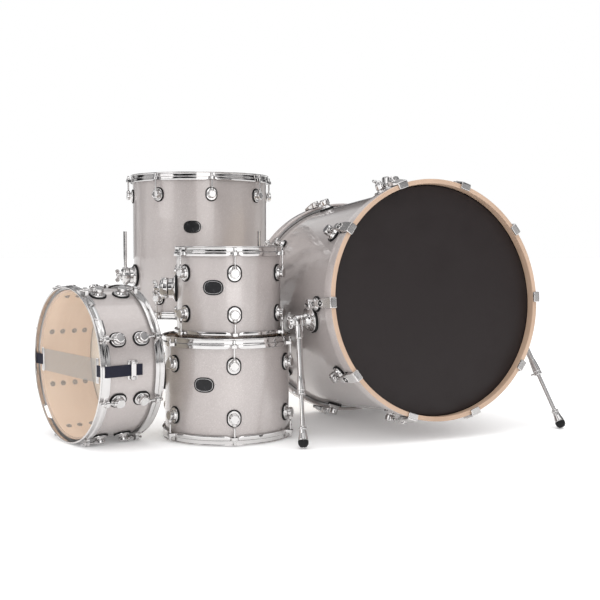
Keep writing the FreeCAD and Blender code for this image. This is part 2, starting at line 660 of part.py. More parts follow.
# ---------------------------------------------------------------- toms, floor tom and snare
def steel_drum(drum, label, first, inset):
    """Shell, two heads, two hoops and all the tuning hardware of one drum."""
    place = PLACE[drum]
    total = drum_total(drum)
    total_text = "(Sizes.%s_depth + 2 * Sizes.rim_rise)" % drum
    count = int(size(drum + "_lug_count"))
    node(label + "_shell", [shell_tube(drum, "Sizes.rim_rise", total_text)], place)
    ends = [about(0), about(0, total, UPSIDE_DOWN)]
    head = head_film(drum, "Sizes.rim_rise", "Sizes.head_ring_out")
    node(label + "_heads", [copies(drum + "_head_pair", head, ends)], place)
    hoop_ends = [about(first), about(first, total, UPSIDE_DOWN)]
    node(label + "_hoops", [copies(drum + "_hoop_pair", steel_hoop(drum), hoop_ends)], place)
    ring = both_ends(first, count, total, value(inset))
    node(label + "_lugs", [copies(drum + "_lug_ring", lug(drum), ring)], place)
    rods = both_ends(first, count, total, size("ear_seat"))
    node(label + "_tension_rods",
         [copies(drum + "_rod_ring", tension_rod(drum, inset), rods)], place)
    pad = bedded(drum + "_gasket", drum, "Sizes.gasket_half_wide", "Sizes.gasket_thick",
                 draw_oval, "Sizes.gasket_half_wide", "Sizes.gasket_half_straight")
    return copies(drum + "_gasket_ring", pad, ring)


def clamp_gasket(drum):
    return bedded(drum + "_clamp_gasket", drum, "Sizes.clamp_gasket", "Sizes.clamp_gasket_thick",
                  draw_circle, "0 * Sizes.film", "0 * Sizes.film", "Sizes.clamp_gasket")


for drum, label in (("tom10", "tom_10"), ("tom12", "tom_12")):
    gasket_ring = steel_drum(drum, label, size("tom_lug_first"), "Sizes.lug_inset")
    clamp_spot = about(size("clamp_angle"), size(drum + "_clamp_z"))
    pad_spot = copies(drum + "_clamp_pad_spot", clamp_gasket(drum), [clamp_spot])
    node(label + "_gaskets", [gasket_ring, pad_spot], PLACE[drum])
    node(label + "_bracket", [copies(drum + "_clamp_spot", clamp_bracket(drum), [clamp_spot])],
         PLACE[drum])
    node(label + "_wing_nut", [copies(drum + "_wing_spot", wing_nut(drum), [clamp_spot])],
         PLACE[drum])


# ---------------------------------------------------------------- floor tom legs
def draw_leg_path(sketch):
    """Down through the clamp, out, and down again to the foot, in the leg's own plane."""
    top = "Sizes.floor_z + Sizes.floor_clamp_z + Sizes.leg_above"
    turns = [("0 * Sizes.film", top), ("0 * Sizes.film", "Sizes.leg_knee_up"),
             ("Sizes.leg_kick", "Sizes.leg_knee_down"), ("Sizes.leg_kick", "Sizes.foot_tall - 6")]
    spots = [Vector(value(x), value(z), 0) for x, z in turns]
    sketch.addGeometry([Part.LineSegment(a, b) for a, b in zip(spots, spots[1:])], False)
    for edge in range(2):
        sketch.addConstraint(Sketcher.Constraint("Coincident", edge, 2, edge + 1, 1))
    for edge, (x, z) in enumerate(turns[:3]):
        pin_point(sketch, edge, 1, x, z)
    pin_point(sketch, 2, 2, *turns[3])


def floor_leg():
    """Bent leg rod with its rubber foot; z = 0 on the floor, x = 0 on the clamped axis."""
    body = doc.addObject("PartDesign::Body", "leg_rod")
    path = new_sketch(body, "leg_path", "XZ_Plane")
    draw_leg_path(path)
    end = new_sketch(body, "leg_section", "XY_Plane",
                     "Sizes.floor_z + Sizes.floor_clamp_z + Sizes.leg_above")
    draw_circle(end, "0 * Sizes.film", "0 * Sizes.film", "Sizes.leg_radius")
    pipe = body.newObject("PartDesign::AdditivePipe", "leg_pipe")
    pipe.Profile = end
    pipe.Spine = (path, ["Edge1", "Edge2", "Edge3"])
    pipe.Transition = "Round corner"
    body.Tip = pipe
    foot = turned("leg_foot", [
        ("0", "0 * Sizes.film"),
        ("Sizes.foot_radius - 2", "0 * Sizes.film"),
        ("Sizes.foot_radius", "2"),
        ("Sizes.foot_radius", "Sizes.foot_tall * 0.45"),
        ("Sizes.leg_radius + 2", "Sizes.foot_tall"),
        ("Sizes.leg_radius", "Sizes.foot_tall"),
        ("Sizes.leg_radius", "Sizes.foot_tall - 6"),
        ("0", "Sizes.foot_tall - 6"),
    ])
    place_by_sheet(foot, ("Sizes.leg_kick", "0", "0"))
    return [body, foot]


floor_gaskets = steel_drum("floor", "floor_tom", size("floor_lug_first"), "Sizes.lug_inset")
leg_angles = [size("leg_first") + 120.0 * k for k in range(3)]
clamp_spots = [about(angle, size("floor_clamp_z")) for angle in leg_angles]
leg_pads = copies("floor_clamp_pads", clamp_gasket("floor"), clamp_spots)
node("floor_tom_gaskets", [floor_gaskets, leg_pads], PLACE["floor"])
node("floor_tom_leg_brackets", [copies("floor_clamps", clamp_bracket("floor"), clamp_spots)],
     PLACE["floor"])
leg_pieces = floor_leg()
leg_bolt = wing_nut("floor")
leg_reach = size("floor_radius") + size("clamp_rod_reach")
for side, angle, spot in zip(("front_left", "front_right", "back"), leg_angles, clamp_spots):
    leg_spot = about(angle).multiply(Placement(Vector(leg_reach, 0, 0), NO_TURN))
    legs = [copies("leg_%s_%d" % (side, k), piece, [leg_spot])
            for k, piece in enumerate(leg_pieces)]
    node("floor_tom_leg_" + side, legs, upright("floor", 0.0))
    node("floor_tom_bolt_" + side, [copies("bolt_" + side, leg_bolt, [spot])], PLACE["floor"])


# ---------------------------------------------------------------- snare drum's own hardware
def snare_wires():
    """Straight wires side by side under the snare-side head, soldered to two end plates."""
    span = 0.80 * size("snare_radius")
    face = drum_total("snare") - size("rim_rise") + 1.6
    wire = cylinder("snare_wire", "Sizes.wire_radius", "1.6 * Sizes.snare_radius",
                    ("-0.8 * Sizes.snare_radius", "0", "0"), RADIAL)
    count = int(size("wire_count"))
    pitch = 2 * size("wire_half_wide") / count
    rows = [Placement(Vector(0, (k - (count - 1) / 2.0) * pitch, face), NO_TURN)
            for k in range(count)]
    plate = block("snare_end_plate", ("14", "2 * Sizes.wire_half_wide + 4", "2.0"),
                  ("-7", "-1 * Sizes.wire_half_wide - 2", "-1.0"))
    ends = [Placement(Vector(sign * (span + 6.9), 0, face), NO_TURN) for sign in (-1, 1)]
    strap = block("snare_strap", ("24", "2 * Sizes.strap_half_wide", "0.8"),
                  ("0", "-1 * Sizes.strap_half_wide", "-0.4"))
    straps = [Placement(Vector(span + 13.9, 0, face), NO_TURN),
              Placement(Vector(-span - 13.9, 0, face), Rotation(Z_AXIS, 180))]
    return [copies("snare_wire_row", wire, rows), copies("snare_end_plates", plate, ends),
            copies("snare_straps", strap, straps)]


def side_of_snare(name):
    """The round side of the shell, which the snare's fittings are hollowed to lie on."""
    return cylinder(name, "Sizes.snare_radius + 0.02", "Sizes.snare_depth",
                    ("0", "0", "-0.5 * Sizes.snare_depth"))


def butt_plate():
    """Fixed end of the strap: a plate and a clamp bar with two screws, on the drum's side."""
    R = "Sizes.snare_radius"
    plate = block("butt_base", ("Sizes.butt_thick + 0.4", "2 * Sizes.butt_half_wide",
                                "2 * Sizes.butt_half_tall"),
                  (R + " - 4", "-1 * Sizes.butt_half_wide", "-1 * Sizes.butt_half_tall"))
    bar = block("butt_bar", ("6.0", "2 * Sizes.butt_half_wide + 6", "14"),
                (R + " + Sizes.butt_thick - 3.8", "-1 * Sizes.butt_half_wide - 3", "-7"))
    screws = [cylinder("butt_screw_%d" % k, "3.2", "4",
                       (R + " + Sizes.butt_thick + 2", "%d * (Sizes.butt_half_wide - 1)" % sign,
                        "0"), RADIAL) for k, sign in enumerate((-1, 1))]
    solid = fused("butt_plate_solid", [plate, bar] + screws)
    return less("butt_bedded", solid, side_of_snare("butt_round"))


def strainer():
    """Throw-off body on the far side, with the lever's hinge and the tension screw's bore."""
    R = "Sizes.snare_radius"
    body = block("strainer_block", ("Sizes.strainer_thick + 4", "2 * Sizes.strainer_half_wide",
                                    "Sizes.strainer_tall"),
                 (R + " - 4", "-1 * Sizes.strainer_half_wide", "-0.5 * Sizes.strainer_tall"))
    cheeks = [block("strainer_cheek_%d" % k, ("14", "4", "18"),
                    (R + " + Sizes.strainer_thick - 1", "%s" % y, "-0.5 * Sizes.strainer_tall"))
              for k, y in enumerate(("-13", "9"))]
    pin = cylinder("strainer_pin", "2.4", "24",
                   (R + " + Sizes.strainer_thick + 8", "12", "-0.5 * Sizes.strainer_tall + 9"),
                   Rotation(X_AXIS, 90))
    post = cylinder("strainer_post", "5.5", "10",
                    (R + " + 10", "0", "0.5 * Sizes.strainer_tall - 1"))
    solid = fused("strainer_solid", [body] + cheeks + [pin, post])
    bore = cylinder("strainer_bore", "2.55", "30",
                    (R + " + 10", "0", "0.5 * Sizes.strainer_tall - 20"))
    bored = less("strainer_bored", solid, bore)
    return less("strainer_bedded", bored, side_of_snare("strainer_round"))


def strainer_lever():
    """Paddle on the hinge pin; it swings away from the drum to drop the wires."""
    R = "Sizes.snare_radius"
    hub = cylinder("lever_hub", "6.2", "17.4",
                   (R + " + Sizes.strainer_thick + 8", "8.7", "-0.5 * Sizes.strainer_tall + 9"),
                   Rotation(X_AXIS, 90))
    paddle = block("lever_paddle", ("4", "14", "Sizes.lever_long"),
                   (R + " + Sizes.strainer_thick + 7.5", "-7", "-0.5 * Sizes.strainer_tall + 10"))
    tip = cylinder("lever_tip", "9", "4",
                   (R + " + Sizes.strainer_thick + 7.5", "0",
                    "-0.5 * Sizes.strainer_tall + 10 + Sizes.lever_long"), RADIAL)
    solid = fused("lever_solid", [hub, paddle, tip])
    eye = cylinder("lever_eye", "2.46", "30",
                   (R + " + Sizes.strainer_thick + 8", "15", "-0.5 * Sizes.strainer_tall + 9"),
                   Rotation(X_AXIS, 90))
    return less("lever_drilled", solid, eye)


def strainer_knob():
    """Tension knob with a screw down the strainer's bore."""
    R = "Sizes.snare_radius"
    top = "0.5 * Sizes.strainer_tall + 9.5"
    grip = cone("knob_grip", "Sizes.knob_radius", "Sizes.knob_radius - 1", "Sizes.knob_tall",
                (R + " + 10", "0", top))
    screw = cylinder("knob_screw", "2.5", "22", (R + " + 10", "0", top + " - 21"))
    return fused("knob_solid", [grip, screw])


snare_gaskets = steel_drum("snare", "snare", size("snare_lug_first"), "Sizes.snare_lug_inset")
middle = drum_total("snare") / 2
node("snare_gaskets", [snare_gaskets], PLACE["snare"])
node("snare_wires", snare_wires(), PLACE["snare"])
node("snare_butt_plate", [copies("butt_spot", butt_plate(), [about(0, middle)])], PLACE["snare"])
for label, maker in (("snare_strainer", strainer), ("snare_strainer_lever", strainer_lever),
                     ("snare_strainer_knob", strainer_knob)):
    node(label, [copies(label + "_spot", maker(), [about(180, middle)])], PLACE["snare"])


# ---------------------------------------------------------------- bass drum
def bass_hoop():
    """Wooden hoop, relieved inside to sit over the head's ring; outer edge at z = 0."""
    R = "Sizes.bass_radius"
    edge = "Sizes.bass_hoop_edge"
    zero = "0 * Sizes.film"
    return turned("bass_hoop", [
        (R + " + Sizes.bass_hoop_in + " + edge, zero),
        (R + " + Sizes.bass_hoop_out - " + edge, zero),
        (R + " + Sizes.bass_hoop_out", edge),
        (R + " + Sizes.bass_hoop_out", "Sizes.bass_hoop_wide - " + edge),
        (R + " + Sizes.bass_hoop_out - " + edge, "Sizes.bass_hoop_wide"),
        (R + " + Sizes.bass_hoop_relief", "Sizes.bass_hoop_wide"),
        (R + " + Sizes.bass_hoop_relief", "Sizes.bass_overhang + 1.6"),
        (R + " + Sizes.bass_hoop_in", "Sizes.bass_overhang - 0.4"),
        (R + " + Sizes.bass_hoop_in", edge),
    ])


def claw_outline(sketch):
    """A claw seen from outside: square over the hoop, narrowing to the rod's round end."""
    wide = "Sizes.claw_half_wide"
    nose = "Sizes.claw_nose"
    far = "Sizes.claw_length"
    draw_outline(sketch, [
        ("-1 * " + wide, "-1 * Sizes.claw_thick - Sizes.claw_pad_thick"),
        (wide, "-1 * Sizes.claw_thick - Sizes.claw_pad_thick"),
        (wide, "Sizes.claw_flat"),
        (nose, far + " - 0.7 * " + nose),
        ("0.6 * " + nose, far),
        ("-0.6 * " + nose, far),
        ("-1 * " + nose, far + " - 0.7 * " + nose),
        ("-1 * " + wide, "Sizes.claw_flat"),
    ])


def bass_claw():
    """Claw hook over the hoop; x is out from the drum's axis, z = 0 at the hoop's edge."""
    hoop_face = "Sizes.bass_radius + Sizes.bass_hoop_out"
    seat = hoop_face + " + Sizes.claw_pad_thick"
    plate = pressed("claw_plate", "YZ_Plane", seat, "Sizes.claw_thick", claw_outline)
    lip = block("claw_lip_block",
                ("Sizes.claw_lip + Sizes.claw_pad_thick", "2 * Sizes.claw_half_wide",
                 "Sizes.claw_thick"),
                (hoop_face + " - Sizes.claw_lip + 1", "-1 * Sizes.claw_half_wide",
                 "-1 * Sizes.claw_thick - Sizes.claw_pad_thick"))
    tail_low = "Sizes.bass_hoop_wide + 1.4"
    tail = cylinder("claw_tail", "Sizes.claw_nose", "Sizes.claw_length - " + tail_low,
                    ("Sizes.bass_radius + Sizes.bass_rod_reach", "0", tail_low))
    solid = fused("claw_solid", [plate, lip, tail])
    bore = cylinder("claw_bore", "Sizes.bass_rod_radius + 0.4", "20",
                    ("Sizes.bass_radius + Sizes.bass_rod_reach", "0", tail_low + " - 1"))
    return less("claw", solid, bore)


def claw_pad():
    """Rubber pad between a claw and the hoop."""
    hoop_face = "Sizes.bass_radius + Sizes.bass_hoop_out"
    flat = block("pad_flat", ("Sizes.claw_pad_thick", "2 * Sizes.claw_half_wide - 1",
                              "Sizes.bass_hoop_wide + Sizes.claw_pad_thick"),
                 (hoop_face, "0.5 - Sizes.claw_half_wide", "-1 * Sizes.claw_pad_thick"))
    fold = block("pad_fold", ("Sizes.claw_lip", "2 * Sizes.claw_half_wide - 1",
                              "Sizes.claw_pad_thick"),
                 (hoop_face + " - Sizes.claw_lip + 1.4", "0.5 - Sizes.claw_half_wide",
                  "-1 * Sizes.claw_pad_thick"))
    both = fused("pad_solid", [flat, fold])
    round_hoop = cylinder("pad_round", hoop_face + " + 0.02", "Sizes.bass_hoop_wide + 4",
                          ("0", "0", "0"))
    return less("claw_pad", both, round_hoop)


def bass_lug():
    """Round lug on its gasket, with a threaded boss that takes the rod from the claw."""
    R = "Sizes.bass_radius"
    barrel = turned("bass_lug_barrel_turn", [
        ("0", "Sizes.gasket_thick"),
        ("Sizes.bass_gasket - 1.6", "Sizes.gasket_thick"),
        ("Sizes.bass_gasket - 2.2", "Sizes.gasket_thick + 2.6"),
        ("Sizes.bass_lug_barrel", "Sizes.gasket_thick + 4"),
        ("Sizes.bass_lug_barrel", "Sizes.bass_lug_tall - 2"),
        ("Sizes.bass_lug_barrel - 2", "Sizes.bass_lug_tall"),
        ("0", "Sizes.bass_lug_tall"),
    ])
    place_by_sheet(barrel, (R, "0", "0"), RADIAL)
    boss = cylinder("bass_lug_boss", "Sizes.bass_boss_radius", "Sizes.bass_boss_reach",
                    (R + " + Sizes.bass_rod_reach", "0", "-1 * Sizes.bass_boss_reach"))
    solid = fused("bass_lug_solid", [barrel, boss])
    bore = cylinder("bass_lug_bore", "Sizes.bass_rod_radius + 0.3", "Sizes.bass_boss_reach + 9",
                    (R + " + Sizes.bass_rod_reach", "0", "-1 * Sizes.bass_boss_reach - 1"))
    return less("bass_lug", solid, bore)


def bass_rod():
    """Tension rod from inside the claw's round end to the lug; z = 0 at the hoop's edge."""
    reach = "Sizes.bass_radius + Sizes.bass_rod_reach"
    start = "Sizes.bass_hoop_wide + 5"
    end = "Sizes.bass_lug_inset - Sizes.bass_boss_reach + 14"
    return cylinder("bass_rod", "Sizes.bass_rod_radius", "%s - (%s)" % (end, start),
                    (reach, "0", start))


def tom_holder():
    """Receiver for a tom arm: foot on a gasket, clamp block with a vertical bore, two bolts."""
    R = "Sizes.bass_radius"
    foot = block("holder_foot", ("Sizes.holder_base_wide - 4", "Sizes.holder_base_top - 1",
                                 "Sizes.holder_base_long - 4"),
                 ("2 - Sizes.holder_base_wide / 2", R + " + 1",
                  "2 - Sizes.holder_base_long / 2"))
    head = block("holder_block", ("Sizes.holder_block_wide", "Sizes.holder_top - 4",
                                  "Sizes.holder_block_long"),
                 ("-0.5 * Sizes.holder_block_wide", R + " + 4",
                  "-0.5 * Sizes.holder_block_long"))
    bolts = [cylinder("holder_bolt_%d" % k, "4.5", "5",
                      ("%d * 16" % sign, R + " + 18", "Sizes.holder_block_long / 2 - 1"))
             for k, sign in enumerate((-1, 1))]
    solid = fused("holder_solid", [foot, head] + bolts)
    bedded_foot = less("holder_bedded", solid, cylinder(
        "holder_round", R + " + 4", "2 * Sizes.holder_base_long",
        ("0", "0", "-1 * Sizes.holder_base_long")))
    bored = less("holder_bored", bedded_foot, cylinder(
        "holder_bore_tool", "Sizes.holder_bore", "Sizes.holder_top + 20", ("0", R + " - 10", "0"),
        Rotation(X_AXIS, -90)))
    split = less("holder_split", bored, block(
        "holder_slit", ("3", "60", "Sizes.holder_block_long"), ("-1.5", R + " + 14", "0")))
    return less("holder_threaded", split, cylinder(
        "holder_thread", "Sizes.wing_stem + 0.06", "16",
        ("-0.5 * Sizes.holder_block_wide - 1", R + " + Sizes.holder_screw_up",
         "-0.5 * Sizes.holder_block_long + 8"), RADIAL))


def holder_gasket():
    R = "Sizes.bass_radius"
    pad = block("holder_pad", ("Sizes.holder_base_wide", "14", "Sizes.holder_base_long"),
                ("-0.5 * Sizes.holder_base_wide", R + " - 10",
                 "-0.5 * Sizes.holder_base_long"))
    inside = cylinder("holder_pad_inside", R + " + 0.02", "2 * Sizes.holder_base_long",
                      ("0", "0", "-1 * Sizes.holder_base_long"))
    hollow = less("holder_pad_hollow", pad, inside)
    skin = cylinder("holder_pad_skin", R + " + 3.9", "2 * Sizes.holder_base_long",
                    ("0", "0", "-1 * Sizes.holder_base_long"))
    shaped = doc.addObject("Part::Common", "holder_pad_shaped")
    shaped.Base = hollow
    shaped.Tool = skin
    doc.recompute()
    return less("holder_gasket", shaped, cylinder(
        "holder_pad_hole", "Sizes.holder_bore + 0.4", "40", ("0", R + " - 20", "0"),
        Rotation(X_AXIS, -90)))


def holder_screw():
    """Wing screw that closes the tom holder's clamp, pointing across the drum."""
    stem = cylinder("holder_screw_stem", "Sizes.wing_stem", "14", ("0", "0", "-12"))
    hub = cone("holder_screw_hub", "Sizes.wing_hub", "Sizes.wing_hub - 1.5",
               "Sizes.wing_hub_tall", ("0", "0", "Sizes.wing_gap"))
    blade = block("holder_screw_blade", ("44", "Sizes.wing_lobe_thick", "13"),
                  ("-22", "-0.5 * Sizes.wing_lobe_thick", "Sizes.wing_hub_tall - 8"))
    return fused("holder_screw_solid", [stem, hub, blade])


# ---------------------------------------------------------------- spurs
def spur_disc():
    """Round foot and boss of a spur bracket, with the pivot pin; z points out of the shell."""
    return turned("spur_disc_turn", [
        ("0", "4"),
        ("Sizes.spur_disc - 1.6", "4"),
        ("Sizes.spur_disc - 1.6", "Sizes.spur_disc_thick - 2"),
        ("Sizes.spur_disc - 5", "Sizes.spur_disc_thick"),
        ("Sizes.spur_boss + 3", "Sizes.spur_disc_thick + 2"),
        ("Sizes.spur_boss", "Sizes.spur_disc_thick + 6"),
        ("Sizes.spur_boss", "Sizes.spur_boss_tall"),
        ("Sizes.spur_pin", "Sizes.spur_boss_tall"),
        ("Sizes.spur_pin", "Sizes.spur_pin_end"),
        ("0", "Sizes.spur_pin_end"),
    ])


def spur_leg():
    """Sleeve, tube and collar; the leg runs along +Z of its own frame, from the pivot axis."""
    leg = turned("spur_leg_turn", [
        ("Sizes.tube_bore", "Sizes.spur_rod_start - Sizes.spur_retract"),
        ("Sizes.tube_bore", "Sizes.collar_end"),
        ("Sizes.collar_radius - 1.5", "Sizes.collar_end"),
        ("Sizes.collar_radius", "Sizes.collar_end - 3"),
        ("Sizes.collar_radius", "Sizes.collar_end - 14"),
        ("Sizes.tube_radius + 0.8", "Sizes.collar_start"),
        ("Sizes.tube_radius", "Sizes.collar_start"),
        ("Sizes.tube_radius", "Sizes.sleeve_end"),
        ("Sizes.sleeve_radius - 1", "Sizes.sleeve_end"),
        ("Sizes.sleeve_radius", "Sizes.sleeve_end - 4"),
        ("Sizes.sleeve_radius + 0.8", "4"),
        ("0", "4"),
        ("0", "Sizes.spur_rod_start - Sizes.spur_retract"),
    ])
    bolt_hole = cylinder("collar_bolt_hole", "2.46", "14",
                         ("Sizes.collar_radius - 4", "0", "Sizes.collar_end - 9"), RADIAL)
    return less("spur_leg", leg, bolt_hole)


def spur_hub():
    """The arm's hub, which turns on the bracket's pin."""
    return turned("spur_hub_turn", [
        ("Sizes.spur_pin_hole", "Sizes.spur_hub_start"),
        ("Sizes.spur_hub - 1.5", "Sizes.spur_hub_start"),
        ("Sizes.spur_hub", "Sizes.spur_hub_start + 1.5"),
        ("Sizes.spur_hub", "Sizes.spur_hub_end - 1.5"),
        ("Sizes.spur_hub - 1.5", "Sizes.spur_hub_end"),
        ("Sizes.spur_pin_hole", "Sizes.spur_hub_end"),
    ])


def spur_wing():
    """T-shaped wing bolt on the pivot: washer disc and two arms."""
    face = "Sizes.spur_hub_end + Sizes.wing_gap"
    disc = cylinder("spur_wing_disc", "Sizes.spur_hub - 3", "3", ("0", "0", face))
    stem = cylinder("spur_wing_stem", "Sizes.spur_pin", "10", ("0", "0", face + " - 9"))
    hub = cone("spur_wing_hub", "Sizes.wing_hub + 1", "Sizes.wing_hub - 1", "12",
               ("0", "0", face + " + 2"))
    blade = block("spur_wing_blade", ("32", "Sizes.wing_lobe_thick", "8"),
                  ("-16", "-0.5 * Sizes.wing_lobe_thick", face + " + 7"))
    return fused("spur_wing_solid", [disc, stem, hub, blade])


def collar_bolt():
    """Small wing bolt that locks the rod in the spur's collar; x is out from the leg's axis."""
    stem = cylinder("collar_bolt_stem", "2.4", "8", ("Sizes.collar_radius - 3", "0", "0"), RADIAL)
    hub = cone("collar_bolt_hub", "5.4", "4.4", "9",
               ("Sizes.collar_radius + Sizes.wing_gap", "0", "0"), RADIAL)
    blade = block("collar_bolt_blade", ("7", "5", "26"),
                  ("Sizes.collar_radius + 4", "-2.5", "-13"))
    return fused("collar_bolt_solid", [stem, hub, blade])


def spur_rod(name, tip):
    """Telescoping rod with flange, cone, rubber foot and spike; tip is its whole reach."""
    flange = "%s - Sizes.spur_foot_long" % tip
    return turned(name, [
        ("0", "Sizes.spur_rod_start"),
        ("Sizes.spur_rod_radius", "Sizes.spur_rod_start"),
        ("Sizes.spur_rod_radius", flange),
        ("Sizes.spur_flange", flange),
        ("Sizes.spur_flange", flange + " + 4"),
        ("Sizes.spur_flange - 1", flange + " + 5"),
        ("Sizes.spur_cone", flange + " + 30"),
        ("Sizes.spur_cone + 0.6", flange + " + 33"),
        ("Sizes.spur_cone - 1.5", flange + " + 40"),
        ("Sizes.spur_cone - 6.5", flange + " + 45.5"),
        ("Sizes.spur_spike", flange + " + 47"),
        ("0", tip),
    ])


bass_place = PLACE["bass"]
lug_total = int(size("bass_lug_count"))
bass_start = "Sizes.bass_overhang"
bass_total = "(Sizes.bass_depth + 2 * Sizes.bass_overhang)"
node("bass_shell", [shell_tube("bass", bass_start, bass_total)], bass_place)
front_end = about(0, bass_length, UPSIDE_DOWN)
hoop = bass_hoop()
node("bass_rear_hoop", [copies("rear_hoop_spot", hoop, [about(0)])], bass_place)
node("bass_front_hoop", [copies("front_hoop_spot", hoop, [front_end])], bass_place)
bass_head = head_film("bass", bass_start, "Sizes.bass_ring_out")
node("bass_rear_head", [copies("rear_head_spot", bass_head, [about(0)])], bass_place)
node("bass_front_head", [copies("front_head_spot", bass_head, [front_end])], bass_place)
at_edges = both_ends(0, lug_total, bass_length, 0)
at_lugs = both_ends(0, lug_total, bass_length, size("bass_lug_inset"))
node("bass_claws", [copies("claw_ring", bass_claw(), at_edges)], bass_place)
node("bass_lugs", [copies("bass_lug_ring", bass_lug(), at_lugs)], bass_place)
node("bass_tension_rods", [copies("bass_rod_ring", bass_rod(), at_edges)], bass_place)
bass_pad = bedded("bass_lug_gasket", "bass", "Sizes.bass_gasket", "Sizes.gasket_thick",
                  draw_circle, "0 * Sizes.film", "0 * Sizes.film", "Sizes.bass_gasket")
spur_pad = bedded("spur_gasket", "bass", "Sizes.spur_disc", "4",
                  draw_circle, "0 * Sizes.film", "0 * Sizes.film", "Sizes.spur_disc")
spur_lift = bass_length - size("spur_at")
spur_spots = {"left": about(180 + size("spur_low"), spur_lift),
              "right": about(-size("spur_low"), spur_lift)}
holder_spot = Placement(Vector(0, 0, bass_length - size("holder_at")), NO_TURN)
node("bass_gaskets", [
    copies("bass_gasket_ring", bass_pad, at_lugs),
    copies("claw_pad_ring", claw_pad(), at_edges),
    copies("spur_gasket_pair", spur_pad, [spur_spots["left"], spur_spots["right"]]),
    copies("holder_gasket_spot", holder_gasket(), [holder_spot]),
], bass_place)
node("tom_holder", [copies("holder_spot", tom_holder(), [holder_spot])], bass_place)
screw_turn = Rotation(Y_AXIS, -90)
screw_at = Vector(-size("holder_block_wide") / 2, size("bass_radius") + size("holder_screw_up"),
                  -size("holder_block_long") / 2 + 8)
screw_spot = holder_spot.multiply(Placement(screw_at, screw_turn))
node("tom_holder_wing_screw", [copies("holder_screw_spot", holder_screw(), [screw_spot])],
     bass_place)

out_of_shell = Placement(Vector(size("bass_radius"), 0, 0), RADIAL)
spur_frames = {side: spot.multiply(out_of_shell) for side, spot in spur_spots.items()}
bracket = spur_disc()
node("spur_brackets", [copies("spur_bracket_pair", bracket,
                              [spur_frames["left"], spur_frames["right"]])], bass_place)

# The leg starts on the pivot axis, at spur_leg_root, and leans out by the splay angle.  Its reach is
# what it takes for the spike to touch the floor.
arm_leg = spur_leg()
arm_hub = spur_hub()
wing = spur_wing()
small_bolt = collar_bolt()
for side, sign in (("left", -1), ("right", 1)):
    frame = spur_frames[side]
    world = bass_place.multiply(frame)
    down = frame.inverse().Rotation.multVec(Vector(sign * sine(-size("spur_low")),
                                                   -cosine(size("spur_low")), 0))
    forward = frame.inverse().Rotation.multVec(Z_AXIS)
    swing = size("spur_%s_swing" % side)
    flat = down * cosine(swing) + forward * sine(swing)
    splay = size("spur_splay")
    aim = flat * cosine(splay) + Z_AXIS * sine(splay)
    hub_point = Vector(0, 0, size("spur_leg_root"))
    fall = bass_place.Rotation.multVec(frame.Rotation.multVec(aim))
    height = world.multVec(hub_point).z
    reach = height / -fall.z
    cell = "B%d" % (len(SIZES) + (1 if side == "left" else 2))
    sheet.set(cell, str(round(reach, 3)))
    sheet.setAlias(cell, "spur_%s_reach" % side)
    doc.recompute()
    leg_frame = frame.multiply(Placement(hub_point, Rotation(Z_AXIS, aim)))
    arm = fused("spur_%s_arm_solid" % side, [
        copies("spur_%s_hub" % side, arm_hub, [Placement()]),
        copies("spur_%s_leg" % side, arm_leg,
               [Placement(hub_point, Rotation(Z_AXIS, aim))]),
    ])
    pin_room = cylinder("spur_%s_pin_room" % side, "Sizes.spur_pin_hole", "60",
                        ("0", "0", "Sizes.spur_hub_start - 20"))
    cleared = less("spur_%s_arm_cleared" % side, arm, pin_room)
    node("spur_%s_arm" % side, [copies("spur_%s_arm_spot" % side, cleared, [frame])], bass_place)
    rod = spur_rod("spur_%s_rod_turn" % side, "Sizes.spur_%s_reach" % side)
    node("spur_%s_rod" % side, [copies("spur_%s_rod_spot" % side, rod, [leg_frame])], bass_place)
    node("spur_%s_wing_bolt" % side, [copies("spur_%s_wing_spot" % side, wing, [frame])],
         bass_place)
    bolt_at = Placement(Vector(0, 0, size("collar_end") - 9), NO_TURN)
    node("spur_%s_collar_bolt" % side,
         [copies("spur_%s_bolt_spot" % side, small_bolt, [leg_frame.multiply(bolt_at)])],
         bass_place)


# ---------------------------------------------------------------- check, then write
doc.recompute()
for item in doc.Objects:
    if "Invalid" in item.State or "Error" in item.State:
        raise RuntimeError("%s did not recompute: %s" % (item.Name, item.State))
os.makedirs("parts", exist_ok=True)
for label, item in NODES.items():
    if item.Shape.isNull() or not item.Shape.isValid():
        raise RuntimeError(label + " has no valid shape")
    if not item.Shape.Solids:
        raise RuntimeError(label + " has no solid")
    item.Shape.exportStep("parts/%s.step" % label)
    box = item.Shape.BoundBox
    print("%-28s %3d solids  %9.1f cm3  x %7.1f %7.1f  y %7.1f %7.1f  z %6.1f %6.1f" % (
        label, len(item.Shape.Solids), item.Shape.Volume / 1000,
        box.XMin, box.XMax, box.YMin, box.YMax, box.ZMin, box.ZMax))
print(len(NODES), "nodes")
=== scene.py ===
"""Looks of the five-piece acoustic drum kit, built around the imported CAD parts.

Shapes are in millimetres.  Every drum has its own frame: z runs along the drum from the edge of
its lower, played or rear hoop, and x points out through its side at angle 0.  Hardware that stands
on a drum's side is drawn with z pointing out of the shell, and then set round the drum.
"""

import json
import math

import bmesh
import bpy
from mathutils import Matrix, Vector


